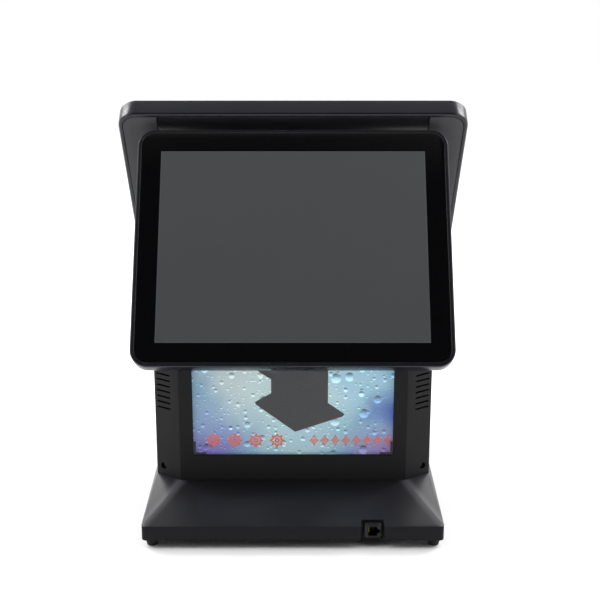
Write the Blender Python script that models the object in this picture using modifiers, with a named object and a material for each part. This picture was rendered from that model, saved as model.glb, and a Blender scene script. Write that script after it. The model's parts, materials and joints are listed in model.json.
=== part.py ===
"""Dual-screen point-of-sale touch terminal.

The customer's side faces -Y and the operator's side faces +Y. Lengths are metres and +Z is up.
The model is laid out with the base's front edge at y = 0, under one empty that is moved at
the end so that the middle of the footprint stands on the origin.
"""
import bpy
import bmesh
from math import atan2, cos, hypot, pi, radians, sin
from mathutils import Matrix, Vector

# ---- driving dimensions -------------------------------------------------------------

GAP = 0.0003                    # clearance between pieces that touch
REACH = 0.02                    # how far a cutter stands past the face it opens

# base
BASE_WIDTH = 0.336
BASE_DEPTH = 0.285
BASE_LIFT = 0.010               # underside of the base above the table
BAND_HEIGHT = 0.0172            # upright band round the base
SLOPE_RISE = 0.0192             # from the band's top to the deck that carries the body
BASE_WALL = 0.0025
BASE_CORNER = 0.005
BASE_PLATE_THICKNESS = 0.0015
FOOT_RADIUS = 0.007
FOOT_TIP_RADIUS = 0.006
FOOT_TIP_HEIGHT = 0.0034
FOOT_INSET_SIDE = 0.0105
FOOT_INSET_END = 0.0125
CABLE_HOLE_WIDTH = 0.060
CABLE_HOLE_DEPTH = 0.030

# cash drawer jack in a pocket of the front band
POCKET_X = 0.0887
POCKET_WIDTH = 0.0255
POCKET_DEPTH = 0.0114
JACK_WIDTH = 0.0186
JACK_HEIGHT = 0.0155
JACK_LENGTH = 0.020
JACK_SETBACK = 0.0034
PLUG_WIDTH = 0.0082
PLUG_HEIGHT = 0.0106
PLUG_DEPTH = 0.0125
LATCH_WIDTH = 0.0032
LATCH_HEIGHT = 0.0044
JACK_BOARD_WIDTH = 0.030
JACK_BOARD_RISE = 0.001         # the board stands this much above the jack

# body
BODY_SETBACK = 0.0785           # body's front face behind the base's front edge
BODY_WIDTH = 0.320
BODY_DEPTH = 0.1715
BODY_HEIGHT = 0.1536
BODY_WALL = 0.0025
BODY_EDGE = 0.007               # rounding along the top edges
REAR_CORNER = 0.012
FACE_WIDTH = 0.261              # flat front face between the two chamfers
CHAMFER_DEPTH = 0.0204
SPLIT_DEPTH = 0.0865            # seam between front and rear shell, from the front face

# lit picture window
WINDOW_WIDTH = 0.230
WINDOW_HEIGHT = 0.108
WINDOW_SILL = 0.0313            # window's lower edge above the body's bottom
WINDOW_LAP = 0.004              # the cover's overlap behind the window's edge
COVER_THICKNESS = 0.002
FILM_THICKNESS = 0.0005
DIFFUSER_THICKNESS = 0.003
TRAY_DEPTH = 0.018
TRAY_WALL = 0.0012
CLIP_LEG_WIDTH = 0.0024
CLIP_RISE = 0.016
CLIP_RUN = 0.0145
CLIP_THICKNESS = 0.0016
LED_STRIP_DEPTH = 0.010

# vents and screws on the chamfers
SLOT_COUNT = 9
SLOT_PITCH = 0.00683
SLOT_HEIGHT = 0.002
SLOT_LENGTH = 0.0196
SLOT_INSET = 0.0138             # slot's centre from the chamfer's outer edge
SLOT_FIRST = 0.0849             # lowest slot above the body's bottom
SHELL_SCREW_RADIUS = 0.0034
SHELL_SCREW_INSET = 0.010
SHELL_SCREW_RISE = 0.0112
SHELL_SCREW_SHANK = 0.0015      # radius below the head
SHELL_SCREW_HEAD = 0.0022
SHELL_SCREW_LENGTH = 0.010
SHELL_SCREW_SUNK = 0.0012

# inside the body
CHASSIS_WIDTH = 0.200
CHASSIS_SHEET = 0.0015
CHASSIS_CLEARANCE = 0.004       # chassis behind the light box and in front of the rear wall
CHASSIS_FLANGE = 0.012
CHASSIS_HOLE_WIDTH = 0.030
CHASSIS_HOLE_DEPTH = 0.020
BOARD_WIDTH = 0.146
BOARD_DEPTH = 0.102
BOARD_THICKNESS = 0.0016
BOARD_RISE = 0.014              # board's underside above the base's deck
SINK_SIZE = 0.056
SINK_HEIGHT = 0.022
FIN_COUNT = 7
FIN_WIDTH = 0.003
SINK_BASE = 0.005
SINK_X = 0.012
SINK_TO_PORTS = 0.010
DRIVE_WIDTH = 0.100
DRIVE_DEPTH = 0.070
DRIVE_HEIGHT = 0.007
DRIVE_INSET = 0.002             # from the side of the chassis
DRIVE_SETBACK = 0.0155          # from the front edge of the chassis
SPEAKER_RADIUS = 0.020
SPEAKER_DEPTH = 0.012
SPEAKER_MAGNET_RADIUS = 0.012
SPEAKER_SETBACK = 0.004         # from the front edge of the chassis
SPEAKER_RISE = 0.095            # above the body's bottom

# connectors and power button at the rear
PANEL_WIDTH = 0.120
PANEL_HEIGHT = 0.027
PANEL_SHEET = 0.001
PANEL_DROP = 0.006              # panel's lower edge below the board's top
PORT_LENGTH = 0.018
MOUTH_DEPTH = 0.012
LAN_BODY = (0.016, 0.0135)      # width and height, as in the next five
LAN_MOUTH = (0.0118, 0.0070)
LAN_LATCH = (0.0060, 0.0040)
USB_BODY = (0.0143, 0.0162)
USB_MOUTH = (0.0125, 0.0052)
USB_TONGUE = (0.0110, 0.0022)
INLET_BODY = (0.010, 0.011)
LAN_MOUTH_RISE = 0.0075         # middles above the port's bottom, as in the next three
LAN_LATCH_RISE = 0.0035
USB_RISES = (0.0043, 0.0119)
INLET_RISE = 0.0058
INLET_BORE_RADIUS = 0.0032
INLET_BORE_DEPTH = 0.011
INLET_PIN_RADIUS = 0.001
LAN_X = -0.042
USB_X = (-0.016, 0.006)
INLET_X = 0.034
BUTTON_X = 0.088
BUTTON_RADIUS = 0.006
BUTTON_LENGTH = 0.0095
BUTTON_PROUD = 0.0016
BUTTON_TRAVEL = 0.0012
BUTTON_STEM_RADIUS = 0.0024
BUTTON_FLANGE = 0.0015          # thickness and overlap of the collar behind the wall
BUTTON_EDGE = 0.0003
SWITCH_SIZE = 0.012
SWITCH_DEPTH = 0.005

# yoke between the body and the two displays
YOKE_HALF_WIDTH = 0.0445        # outer face of the steel cheeks
YOKE_SHEET = 0.003
YOKE_FRONT = 0.030              # yoke plate's front edge behind the body's front face
YOKE_REAR = 0.012               # yoke plate's rear edge from the body's rear face
YOKE_EYE = 0.011
COVER_EYE = 0.0155
COVER_WIDTH = 0.013
SHAFT_RADIUS = 0.004
NUT_RADIUS = 0.0072
NUT_WIDTH = 0.0055
SHAFT_PROUD = 0.0012            # shaft past its nuts
NUT_POCKET_ROOM = 0.0012        # round a nut
NUT_POCKET_DEPTH = 0.008
ARM_LAP = 0.012                 # the two arms of a side cross by this much
EAR_SHEET = 0.0025
EAR_CLEARANCE = 0.001
EAR_FOOT = 0.0192               # half height of an ear where it leaves the leaf
EAR_EYE = 0.0085
LEAF_HALF_HEIGHT = 0.024
NECK_SCREW_RADIUS = 0.002
NECK_SCREW_HEAD = 0.0026
NECK_SCREW_LENGTH = 0.009
NECK_SCREW_X = 0.024
NECK_SCREW_INSET = 0.010

# displays: sizes across the glass, then along the thickness
CUSTOMER = {
    "width": 0.359, "height": 0.2826, "thickness": 0.020, "corner": 0.020, "rim": 0.004,
    "glass": 0.002, "lcd": (0.3265, 0.2535, 0.0085), "board": (0.120, 0.055),
    "hinge_height": 0.0801, "hinge_setback": 0.022, "tilt": 33.3, "recess": None,
}
MAIN = {
    "width": 0.410, "height": 0.333, "thickness": 0.0235, "corner": 0.022, "rim": 0.004,
    "glass": 0.003, "lcd": (0.3585, 0.2965, 0.0090), "board": (0.150, 0.070),
    "hinge_height": 0.1131, "hinge_setback": 0.0273, "tilt": 36.4, "recess": (0.319, 0.262, 0.003),
}
WEB_THICKNESS = 0.003           # frame's inner web behind the glass
LEDGE_WIDTH = 0.007             # frame's wall and ledge round the rear cover
REBATE_WIDTH = 0.005            # frame's wall beside the rear cover
REAR_COVER_THICKNESS = 0.003
FRAME_EDGE = 0.0012
RECESS_CORNER = 0.005
CUSTOMER_HINGE_BACK = 0.0371    # customer hinge behind the body's front face
CUSTOMER_HINGE_RISE = 0.045     # customer hinge above the body's top
MAIN_HINGE_RISE = 0.062         # main hinge above the body's top
DISPLAY_GAP = 0.0055            # between the two displays at their tops

# ---- places worked out from the dimensions -------------------------------------------

band_top = BASE_LIFT + BAND_HEIGHT
deck = band_top + SLOPE_RISE
body_bottom = deck + GAP
body_top = body_bottom + BODY_HEIGHT
body_front = BODY_SETBACK
body_back = body_front + BODY_DEPTH
split = body_front + SPLIT_DEPTH
half_body = BODY_WIDTH / 2
half_face = FACE_WIDTH / 2
chamfer_run = half_body - half_face
chamfer_length = hypot(chamfer_run, CHAMFER_DEPTH)
chamfer_angle = atan2(CHAMFER_DEPTH, chamfer_run)
# the window and the vents stay below the rounded top edge of a lower body
window_height = min(WINDOW_HEIGHT, BODY_HEIGHT - WINDOW_SILL - WINDOW_LAP - BODY_EDGE - GAP)
window_middle = body_bottom + WINDOW_SILL + window_height / 2
slot_first = min(SLOT_FIRST, BODY_HEIGHT - BODY_EDGE - SLOT_COUNT * SLOT_PITCH)
cover_front = body_front + BODY_WALL + GAP
film_front = cover_front + COVER_THICKNESS + GAP
diffuser_front = film_front + FILM_THICKNESS + GAP
tray_front = diffuser_front + DIFFUSER_THICKNESS + GAP
tray_back = tray_front + TRAY_DEPTH
chassis_front = tray_back + CHASSIS_CLEARANCE
chassis_back = body_back - BODY_WALL - CHASSIS_CLEARANCE
chassis_top = body_top - BODY_WALL - GAP
board_back = body_back - BODY_WALL - CHASSIS_CLEARANCE
board_bottom = deck + BOARD_RISE
board_top = board_bottom + BOARD_THICKNESS
port_back = body_back - BODY_WALL + PANEL_SHEET + GAP
panel_middle = board_top + PANEL_HEIGHT / 2 - PANEL_DROP
button_z = panel_middle
jack_middle = BASE_LIFT + BASE_PLATE_THICKNESS + GAP + JACK_HEIGHT / 2
yoke_bottom = body_top + GAP
cheek_middle = YOKE_HALF_WIDTH - YOKE_SHEET / 2
ear_middle = YOKE_HALF_WIDTH - YOKE_SHEET - EAR_CLEARANCE - EAR_SHEET / 2
shaft_half = YOKE_HALF_WIDTH + NUT_WIDTH + SHAFT_PROUD


def display_point(hinge, tilt, outward, up):
    """World (y, z) of a point of a display: outward is its rear side, up is along its plane."""
    return (hinge[0] + outward * cos(tilt) + up * sin(tilt),
            hinge[1] - outward * sin(tilt) + up * cos(tilt))


customer_hinge = (body_front + CUSTOMER_HINGE_BACK, body_top + CUSTOMER_HINGE_RISE)
customer_top = display_point(customer_hinge, radians(CUSTOMER["tilt"]), -CUSTOMER["hinge_setback"],
                             CUSTOMER["height"] - CUSTOMER["hinge_height"])
main_tilt = radians(MAIN["tilt"])
main_hinge_z = body_top + MAIN_HINGE_RISE
main_plane = customer_top[0] * cos(main_tilt) + customer_top[1] * sin(main_tilt) + DISPLAY_GAP
main_hinge = ((main_plane - MAIN["hinge_setback"] - main_hinge_z * sin(main_tilt)) / cos(main_tilt),
              main_hinge_z)

# ---- scene set-up -------------------------------------------------------------------

for old in list(bpy.data.objects):
    bpy.data.objects.remove(old)

parts = bpy.data.collections.new("pos_touchscreen_terminal")
cutters = bpy.data.collections.new("cutters")
bpy.context.scene.collection.children.link(parts)
bpy.context.scene.collection.children.link(cutters)


def make_surface(name, colour, roughness, metallic=0.0):
    surface = bpy.data.materials.new(name)
    surface.use_nodes = True
    shader = surface.node_tree.nodes["Principled BSDF"]
    shader.inputs["Base Color"].default_value = (*colour, 1.0)
    shader.inputs["Roughness"].default_value = roughness
    shader.inputs["Metallic"].default_value = metallic
    surface.diffuse_color = (*colour, 1.0)
    return surface


shell_black = make_surface("shell_black", (0.014, 0.014, 0.016), 0.55)
frame_black = make_surface("frame_black", (0.020, 0.020, 0.024), 0.35)
rear_black = make_surface("rear_black", (0.030, 0.030, 0.033), 0.60)
plate_black = make_surface("plate_black", (0.006, 0.006, 0.008), 0.25)
glass_black = make_surface("glass_black", (0.004, 0.004, 0.004), 0.08)
lcd_grey = make_surface("lcd_grey", (0.070, 0.072, 0.075), 0.40)
acrylic = make_surface("acrylic", (0.80, 0.85, 0.88), 0.08)
film_blue = make_surface("film_blue", (0.30, 0.48, 0.62), 0.35)
white_plastic = make_surface("white_plastic", (0.82, 0.82, 0.80), 0.50)
jack_black = make_surface("jack_black", (0.025, 0.025, 0.027), 0.45)
rubber_black = make_surface("rubber_black", (0.012, 0.012, 0.012), 0.85)
steel = make_surface("steel", (0.45, 0.46, 0.48), 0.35, 1.0)
black_steel = make_surface("black_steel", (0.020, 0.020, 0.022), 0.45, 0.6)
aluminium = make_surface("aluminium", (0.60, 0.61, 0.62), 0.40, 1.0)
board_green = make_surface("board_green", (0.020, 0.110, 0.045), 0.50)


# ---- modelling tools ----------------------------------------------------------------

def add(name, mesh, surface, place, parent):
    """Link a mesh as a piece, or as a cutter when it has no surface."""
    item = bpy.data.objects.new(name, mesh)
    item.location = place
    item.parent = parent
    if surface is None:
        cutters.objects.link(item)
        item.hide_render = True
        item.display_type = "WIRE"
    else:
        parts.objects.link(item)
        if not mesh.materials:
            mesh.materials.append(surface)
    return item


def from_bmesh(name, shape):
    mesh = bpy.data.meshes.new(name)
    shape.to_mesh(mesh)
    shape.free()
    return mesh


TURNS = {"X": Matrix.Rotation(pi / 2, 4, "Y"), "Y": Matrix.Rotation(-pi / 2, 4, "X"),
         "Z": Matrix.Identity(4)}


def box(name, size, place, surface, parent):
    shape = bmesh.new()
    bmesh.ops.create_cube(shape, size=1.0, matrix=Matrix.Diagonal((*size, 1.0)))
    return add(name, from_bmesh(name, shape), surface, place, parent)


def turned(name, radii, lengths, axis, place, surface, parent, segments=24):
    """Round piece along X, Y or Z: steps of a radius and a length, from the low end up."""
    outline = [(0.0, sum(lengths))]
    level = sum(lengths)
    for radius, length in zip(reversed(radii), reversed(lengths)):
        outline.append((radius, level))
        level -= length
        outline.append((radius, level))
    outline.append((0.0, 0.0))
    mesh = bpy.data.meshes.new(name)
    points = [(radius, 0.0, height) for radius, height in outline]
    mesh.from_pydata(points, [(i, i + 1) for i in range(len(points) - 1)], [])
    guide = bpy.data.objects.new(name + "_profile", mesh)
    bpy.context.scene.collection.objects.link(guide)
    screw = guide.modifiers.new("turn", "SCREW")
    screw.angle = 2 * pi
    screw.steps = segments
    screw.render_steps = segments
    screw.use_merge_vertices = True
    screw.merge_threshold = 1e-6
    bpy.context.view_layer.update()
    solid = bpy.data.meshes.new_from_object(guide.evaluated_get(bpy.context.evaluated_depsgraph_get()))
    bpy.data.objects.remove(guide)
    bpy.data.meshes.remove(mesh)
    shape = bmesh.new()
    shape.from_mesh(solid)
    bmesh.ops.remove_doubles(shape, verts=shape.verts, dist=1e-6)
    bmesh.ops.dissolve_limit(shape, angle_limit=radians(0.2), verts=shape.verts, edges=shape.edges)
    bmesh.ops.transform(shape, matrix=TURNS[axis], verts=shape.verts)
    bmesh.ops.recalc_face_normals(shape, faces=shape.faces)
    shape.to_mesh(solid)
    shape.free()
    solid.name = name
    return add(name, solid, surface, place, parent)


def cylinder(name, radius, depth, axis, place, surface, parent, segments=24):
    """Cylinder along X, Y or Z, centred on its place."""
    shape = bmesh.new()
    bmesh.ops.create_cone(shape, cap_ends=True, segments=segments, radius1=radius, radius2=radius,
                          depth=depth, matrix=TURNS[axis])
    return add(name, from_bmesh(name, shape), surface, place, parent)


def hull(name, points, surface, parent, place=(0, 0, 0)):
    """Convex solid round a set of points."""
    shape = bmesh.new()
    for point in points:
        shape.verts.new(point)
    result = bmesh.ops.convex_hull(shape, input=shape.verts)
    loose = {item for item in result["geom_interior"] + result["geom_unused"]
             if isinstance(item, bmesh.types.BMVert)}
    bmesh.ops.delete(shape, geom=list(loose), context="VERTS")
    bmesh.ops.dissolve_limit(shape, angle_limit=radians(0.2), verts=shape.verts, edges=shape.edges)
    bmesh.ops.recalc_face_normals(shape, faces=shape.faces)
    return add(name, from_bmesh(name, shape), surface, place, parent)


PLANES = {
    "XY": Matrix.Identity(4),
    "XZ": Matrix(((1, 0, 0, 0), (0, 0, -1, 0), (0, 1, 0, 0), (0, 0, 0, 1))),
    "YZ": Matrix(((0, 0, 1, 0), (1, 0, 0, 0), (0, 1, 0, 0), (0, 0, 0, 1))),
}


def prism(name, outline, depth, plane, place, surface, parent):
    """Flat outline in a plane, thickened evenly to both sides of it."""
    curve = bpy.data.curves.new(name, "CURVE")
    curve.dimensions = "2D"
    curve.fill_mode = "BOTH"
    curve.extrude = depth / 2
    line = curve.splines.new("POLY")
    line.points.add(len(outline) - 1)
    for point, (across, up) in zip(line.points, outline):
        point.co = (across, up, 0, 1)
    line.use_cyclic_u = True
    guide = bpy.data.objects.new(name + "_outline", curve)
    bpy.context.scene.collection.objects.link(guide)
    bpy.context.view_layer.update()
    solid = guide.evaluated_get(bpy.context.evaluated_depsgraph_get())
    mesh = bpy.data.meshes.new_from_object(solid)
    bpy.data.objects.remove(guide)
    bpy.data.curves.remove(curve)
    shape = bmesh.new()
    shape.from_mesh(mesh)
    bmesh.ops.remove_doubles(shape, verts=shape.verts, dist=1e-6)
    bmesh.ops.dissolve_limit(shape, angle_limit=radians(0.2), verts=shape.verts, edges=shape.edges)
    bmesh.ops.transform(shape, matrix=PLANES[plane], verts=shape.verts)
    bmesh.ops.recalc_face_normals(shape, faces=shape.faces)
    shape.to_mesh(mesh)
    shape.free()
    mesh.name = name
    return add(name, mesh, surface, place, parent)


def rounded(width, height, corner, steps=6):
    """Rectangle with round corners, centred on zero."""
    points = []
    for turn, (sx, sy) in enumerate(((1, 1), (-1, 1), (-1, -1), (1, -1))):
        middle = (sx * (width / 2 - corner), sy * (height / 2 - corner))
        for step in range(steps + 1):
            angle = (turn + step / steps) * pi / 2
            points.append((middle[0] + corner * cos(angle), middle[1] + corner * sin(angle)))
    return points


def inset(outline, distance):
    """Convex counter-clockwise outline moved inwards by a distance."""
    sides = []
    for (ax, ay), (bx, by) in zip(outline, outline[1:] + outline[:1]):
        length = hypot(bx - ax, by - ay)
        nx, ny = (ay - by) / length, (bx - ax) / length
        sides.append((nx, ny, nx * ax + ny * ay + distance))
    points = []
    for (a, b, c), (d, e, f) in zip(sides[-1:] + sides[:-1], sides):
        spread = a * e - b * d
        points.append(((c * e - b * f) / spread, (a * f - c * d) / spread))
    return points


def round_edges(item, width, segments, chosen):
    """Round the edges whose two ends both pass the test."""
    shape = bmesh.new()
    shape.from_mesh(item.data)
    edges = [edge for edge in shape.edges if chosen(edge.verts[0].co, edge.verts[1].co)]
    bmesh.ops.bevel(shape, geom=edges, offset=width, segments=segments, profile=0.5,
                    affect="EDGES", clamp_overlap=True)
    shape.to_mesh(item.data)
    shape.free()


def combine(item, operation, others):
    for other in others:
        step = item.modifiers.new(operation.lower() + "_" + other.name, "BOOLEAN")
        step.operation = operation
        step.solver = "EXACT"
        step.object = other


def cut(item, *others):
    combine(item, "DIFFERENCE", others)


def join(item, *others):
    combine(item, "UNION", others)


def soften(item, width, segments=2, angle=40):
    step = item.modifiers.new("soften", "BEVEL")
    step.width = width
    step.segments = segments
    step.limit_method = "ANGLE"
    step.angle_limit = radians(angle)


def empty(name, place, parent=None, rotation=(0, 0, 0)):
    item = bpy.data.objects.new(name, None)
    item.location = place
    item.rotation_euler = rotation
    item.parent = parent
    parts.objects.link(item)
    return item


terminal = empty("terminal_origin", (0, 0, 0))


# ---- base ---------------------------------------------------------------------------

def body_outline(back):
    """Plan of the body from its chamfered front to a chosen depth, counter-clockwise."""
    shoulder = body_front + CHAMFER_DEPTH
    return [(-half_body, shoulder), (-half_face, body_front), (half_face, body_front),
            (half_body, shoulder), (half_body, back), (-half_body, back)]


def base_points(wall, bottom):
    """Corners of the base: an upright band below slopes that rise to the body's footprint."""
    half = BASE_WIDTH / 2 - wall
    band = [(-half, wall), (half, wall), (half, BASE_DEPTH - wall), (-half, BASE_DEPTH - wall)]
    top = inset(body_outline(body_back), wall) if wall else body_outline(body_back)
    points = [(x, y, z) for x, y in band for z in (bottom, band_top - wall / 2)]
    return points + [(x, y, deck - wall) for x, y in top]


def build_base():
    cover = hull("base_cover", base_points(0.0, BASE_LIFT), shell_black, terminal)
    round_edges(cover, BASE_CORNER, 4, lambda a, b: abs(a.z - b.z) > BAND_HEIGHT * 0.9
                and max(a.z, b.z) < band_top + GAP)
    inside = hull("base_inside", base_points(BASE_WALL, BASE_LIFT - REACH), None, terminal)
    pocket_back = POCKET_DEPTH + BASE_WALL
    keep = box("pocket_walls", (POCKET_WIDTH + 2 * BASE_WALL, 2 * pocket_back, 2 * (deck + REACH)),
               (POCKET_X, 0, 0), None, terminal)
    cut(inside, keep)
    notch = box("pocket", (POCKET_WIDTH, 2 * POCKET_DEPTH, 2 * (deck + REACH)), (POCKET_X, 0, 0), None,
                terminal)
    middle = JACK_SETBACK + JACK_LENGTH / 2
    room = 2 * GAP
    jack_hole = box("jack_hole", (JACK_WIDTH + room, JACK_LENGTH + room, 2 * (JACK_HEIGHT + 2 * GAP)),
                    (POCKET_X, middle, jack_middle - JACK_HEIGHT / 2), None, terminal)
    cable_hole = box("base_cable_hole", (CABLE_HOLE_WIDTH, CABLE_HOLE_DEPTH, REACH),
                     (0, (chassis_front + chassis_back) / 2, deck), None, terminal)
    cut(cover, inside, notch, jack_hole, cable_hole)

    half_x = BASE_WIDTH / 2 - BASE_WALL - GAP
    front = BASE_WALL + GAP
    back = BASE_DEPTH - BASE_WALL - GAP
    plate = box("base_plate", (2 * half_x, back - front, BASE_PLATE_THICKNESS),
                (0, (front + back) / 2, BASE_LIFT + BASE_PLATE_THICKNESS / 2), black_steel, terminal)
    plate_notch = box("plate_notch", (POCKET_WIDTH + 2 * BASE_WALL + 2 * GAP, 2 * (pocket_back + GAP), REACH),
                      (POCKET_X, 0, BASE_LIFT), None, terminal)
    cut(plate, plate_notch)

    foot_mesh = None
    foot_x = BASE_WIDTH / 2 - FOOT_INSET_SIDE
    for side, x in (("left", -foot_x), ("right", foot_x)):
        for end, y in (("front", FOOT_INSET_END), ("rear", BASE_DEPTH - FOOT_INSET_END)):
            name = "foot_" + end + "_" + side
            height = BASE_LIFT - GAP
            if foot_mesh is None:
                foot = turned(name, (FOOT_TIP_RADIUS, FOOT_RADIUS),
                              (FOOT_TIP_HEIGHT, height - FOOT_TIP_HEIGHT), "Z", (x, y, 0), rubber_black,
                              terminal)
                foot_mesh = foot.data
            else:
                add(name, foot_mesh, rubber_black, (x, y, 0), terminal)


def build_drawer_jack():
    front = JACK_SETBACK
    jack = box("drawer_jack", (JACK_WIDTH, JACK_LENGTH, JACK_HEIGHT),
               (POCKET_X, front + JACK_LENGTH / 2, jack_middle), jack_black, terminal)
    mouth = box("plug_mouth", (PLUG_WIDTH, 2 * PLUG_DEPTH, PLUG_HEIGHT),
                (POCKET_X, front, jack_middle), None, terminal)
    latch = box("latch_mouth", (2 * LATCH_WIDTH, 2 * PLUG_DEPTH, LATCH_HEIGHT),
                (POCKET_X + PLUG_WIDTH / 2, front, jack_middle), None, terminal)
    cut(jack, mouth, latch)
    box("jack_board", (JACK_BOARD_WIDTH, BOARD_THICKNESS, JACK_HEIGHT + JACK_BOARD_RISE),
        (POCKET_X, front + JACK_LENGTH + GAP + BOARD_THICKNESS / 2, jack_middle + JACK_BOARD_RISE / 2),
        board_green, terminal)


# ---- body shells and light box -------------------------------------------------------

def chamfer_place(side, along, height):
    """Point on a chamfer's face, measured from its outer edge. side is -1 or 1."""
    share = along / chamfer_length
    return (side * (half_body - share * chamfer_run),
            body_front + CHAMFER_DEPTH * (1 - share), body_bottom + height)


def build_front_shell():
    middle = (body_bottom + body_top) / 2
    shell = prism("body_front_shell", body_outline(split), BODY_HEIGHT, "XY", (0, 0, middle),
                  shell_black, terminal)
    half = BODY_HEIGHT / 2
    round_edges(shell, BODY_EDGE, 3, lambda a, b: min(a.z, b.z) > half - GAP
                and min(a.y, b.y) < split - GAP)
    cavity = prism("front_cavity", inset(body_outline(split + 2 * BODY_WALL), BODY_WALL), BODY_HEIGHT,
                   "XY", (0, 0, middle - BODY_WALL), None, terminal)
    round_edges(cavity, BODY_EDGE - BODY_WALL, 2, lambda a, b: min(a.z, b.z) > half - GAP
                and min(a.y, b.y) < split)
    window = box("window_opening", (WINDOW_WIDTH, REACH, window_height),
                 (0, body_front, window_middle), None, terminal)
    cut(shell, cavity, window)
    for side, label in ((-1, "left"), (1, "right")):
        for row in range(SLOT_COUNT):
            slot = box("slot_" + label + str(row), (SLOT_LENGTH, REACH, SLOT_HEIGHT),
                       chamfer_place(side, SLOT_INSET, slot_first + row * SLOT_PITCH), None, terminal)
            slot.rotation_euler.z = side * chamfer_angle
            cut(shell, slot)
        hole = cylinder("screw_hole_" + label, SHELL_SCREW_RADIUS + GAP, REACH, "Y",
                        chamfer_place(side, SHELL_SCREW_INSET, SHELL_SCREW_RISE), None, terminal)
        hole.rotation_euler.z = side * chamfer_angle
        cut(shell, hole)
        screw = turned("shell_screw_" + label, (SHELL_SCREW_RADIUS, SHELL_SCREW_SHANK),
                       (SHELL_SCREW_HEAD, SHELL_SCREW_LENGTH), "Y",
                       chamfer_place(side, SHELL_SCREW_INSET, SHELL_SCREW_RISE), black_steel, terminal, 16)
        screw.rotation_euler.z = side * chamfer_angle
        inward = Matrix.Rotation(side * chamfer_angle, 3, "Z") @ Vector((0, 1, 0))
        screw.location += SHELL_SCREW_SUNK * inward
    return shell


def build_rear_shell():
    middle = (body_bottom + body_top) / 2
    front = split + GAP
    outline = [(-half_body, front), (half_body, front), (half_body, body_back), (-half_body, body_back)]
    shell = prism("body_rear_shell", outline, BODY_HEIGHT, "XY", (0, 0, middle), shell_black, terminal)
    half = BODY_HEIGHT / 2
    round_edges(shell, REAR_CORNER, 5, lambda a, b: abs(a.z - b.z) > half
                and min(a.y, b.y) > split + BODY_WALL)
    round_edges(shell, BODY_EDGE, 3, lambda a, b: min(a.z, b.z) > half - GAP
                and max(a.y, b.y) > front + GAP)
    inner = [(-half_body, front - 2 * BODY_WALL), (half_body, front - 2 * BODY_WALL),
             (half_body, body_back), (-half_body, body_back)]
    cavity = prism("rear_cavity", inset(inner, BODY_WALL), BODY_HEIGHT, "XY",
                   (0, 0, middle - BODY_WALL), None, terminal)
    round_edges(cavity, REAR_CORNER - BODY_WALL, 4, lambda a, b: abs(a.z - b.z) > half
                and min(a.y, b.y) > split + BODY_WALL)
    round_edges(cavity, BODY_EDGE - BODY_WALL, 2, lambda a, b: min(a.z, b.z) > half - GAP
                and max(a.y, b.y) > front)
    panel = box("panel_opening", (PANEL_WIDTH, REACH, PANEL_HEIGHT),
                (0, body_back, panel_middle), None, terminal)
    button_hole = cylinder("button_hole", BUTTON_RADIUS + GAP, REACH, "Y",
                           (BUTTON_X, body_back, button_z), None, terminal)
    cut(shell, cavity, panel, button_hole)
    return shell


def build_light_box():
    width = WINDOW_WIDTH + 2 * WINDOW_LAP
    height = window_height + 2 * WINDOW_LAP
    box("window_cover", (width, COVER_THICKNESS, height),
        (0, cover_front + COVER_THICKNESS / 2, window_middle), acrylic, terminal)
    box("picture_film", (width, FILM_THICKNESS, height),
        (0, film_front + FILM_THICKNESS / 2, window_middle), film_blue, terminal)
    box("light_diffuser", (width, DIFFUSER_THICKNESS, height),
        (0, diffuser_front + DIFFUSER_THICKNESS / 2, window_middle), white_plastic, terminal)
    tray = box("lightbox_tray", (width, TRAY_DEPTH, height),
               (0, tray_front + TRAY_DEPTH / 2, window_middle), white_plastic, terminal)
    hollow = box("tray_hollow", (width - 2 * TRAY_WALL, TRAY_DEPTH, height - 2 * TRAY_WALL),
                 (0, tray_front + TRAY_DEPTH / 2 - TRAY_WALL, window_middle), None, terminal)
    cut(tray, hollow)
    floor = window_middle - height / 2 + TRAY_WALL + GAP
    box("led_strip", (WINDOW_WIDTH, LED_STRIP_DEPTH, BOARD_THICKNESS),
        (0, tray_front + TRAY_DEPTH / 2, floor + BOARD_THICKNESS / 2), board_green, terminal)

    sill = window_middle - window_height / 2
    for side, label in ((-1, "left"), (1, "right")):
        edge = WINDOW_WIDTH / 2 - GAP
        low = GAP
        outline = [(edge, low), (edge, CLIP_RISE), (edge - CLIP_LEG_WIDTH, CLIP_RISE),
                   (edge - CLIP_LEG_WIDTH, CLIP_LEG_WIDTH), (edge - CLIP_RUN, CLIP_LEG_WIDTH),
                   (edge - CLIP_RUN, low)]
        outline = [(side * x, z) for x, z in outline]
        prism("film_clip_" + label, outline, CLIP_THICKNESS, "XZ",
              (0, cover_front - GAP - CLIP_THICKNESS / 2, sill), shell_black, terminal)


# ---- inside the body ----------------------------------------------------------------

def build_chassis():
    half = CHASSIS_WIDTH / 2
    sheet = CHASSIS_SHEET
    flange = CHASSIS_FLANGE
    low = deck + GAP
    outline = [(-half - flange, low), (-half, low), (-half, chassis_top - sheet), (half, chassis_top - sheet),
               (half, low), (half + flange, low), (half + flange, low + sheet), (half + sheet, low + sheet),
               (half + sheet, chassis_top), (-half - sheet, chassis_top), (-half - sheet, low + sheet),
               (-half - flange, low + sheet)]
    chassis = prism("chassis", outline, chassis_back - chassis_front, "XZ",
                    (0, (chassis_front + chassis_back) / 2, 0), steel, terminal)
    cable_hole = box("chassis_cable_hole", (CHASSIS_HOLE_WIDTH, CHASSIS_HOLE_DEPTH, REACH),
                     (0, (split + body_back) / 2, chassis_top), None, terminal)
    cut(chassis, cable_hole)
    return chassis, cable_hole


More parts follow.
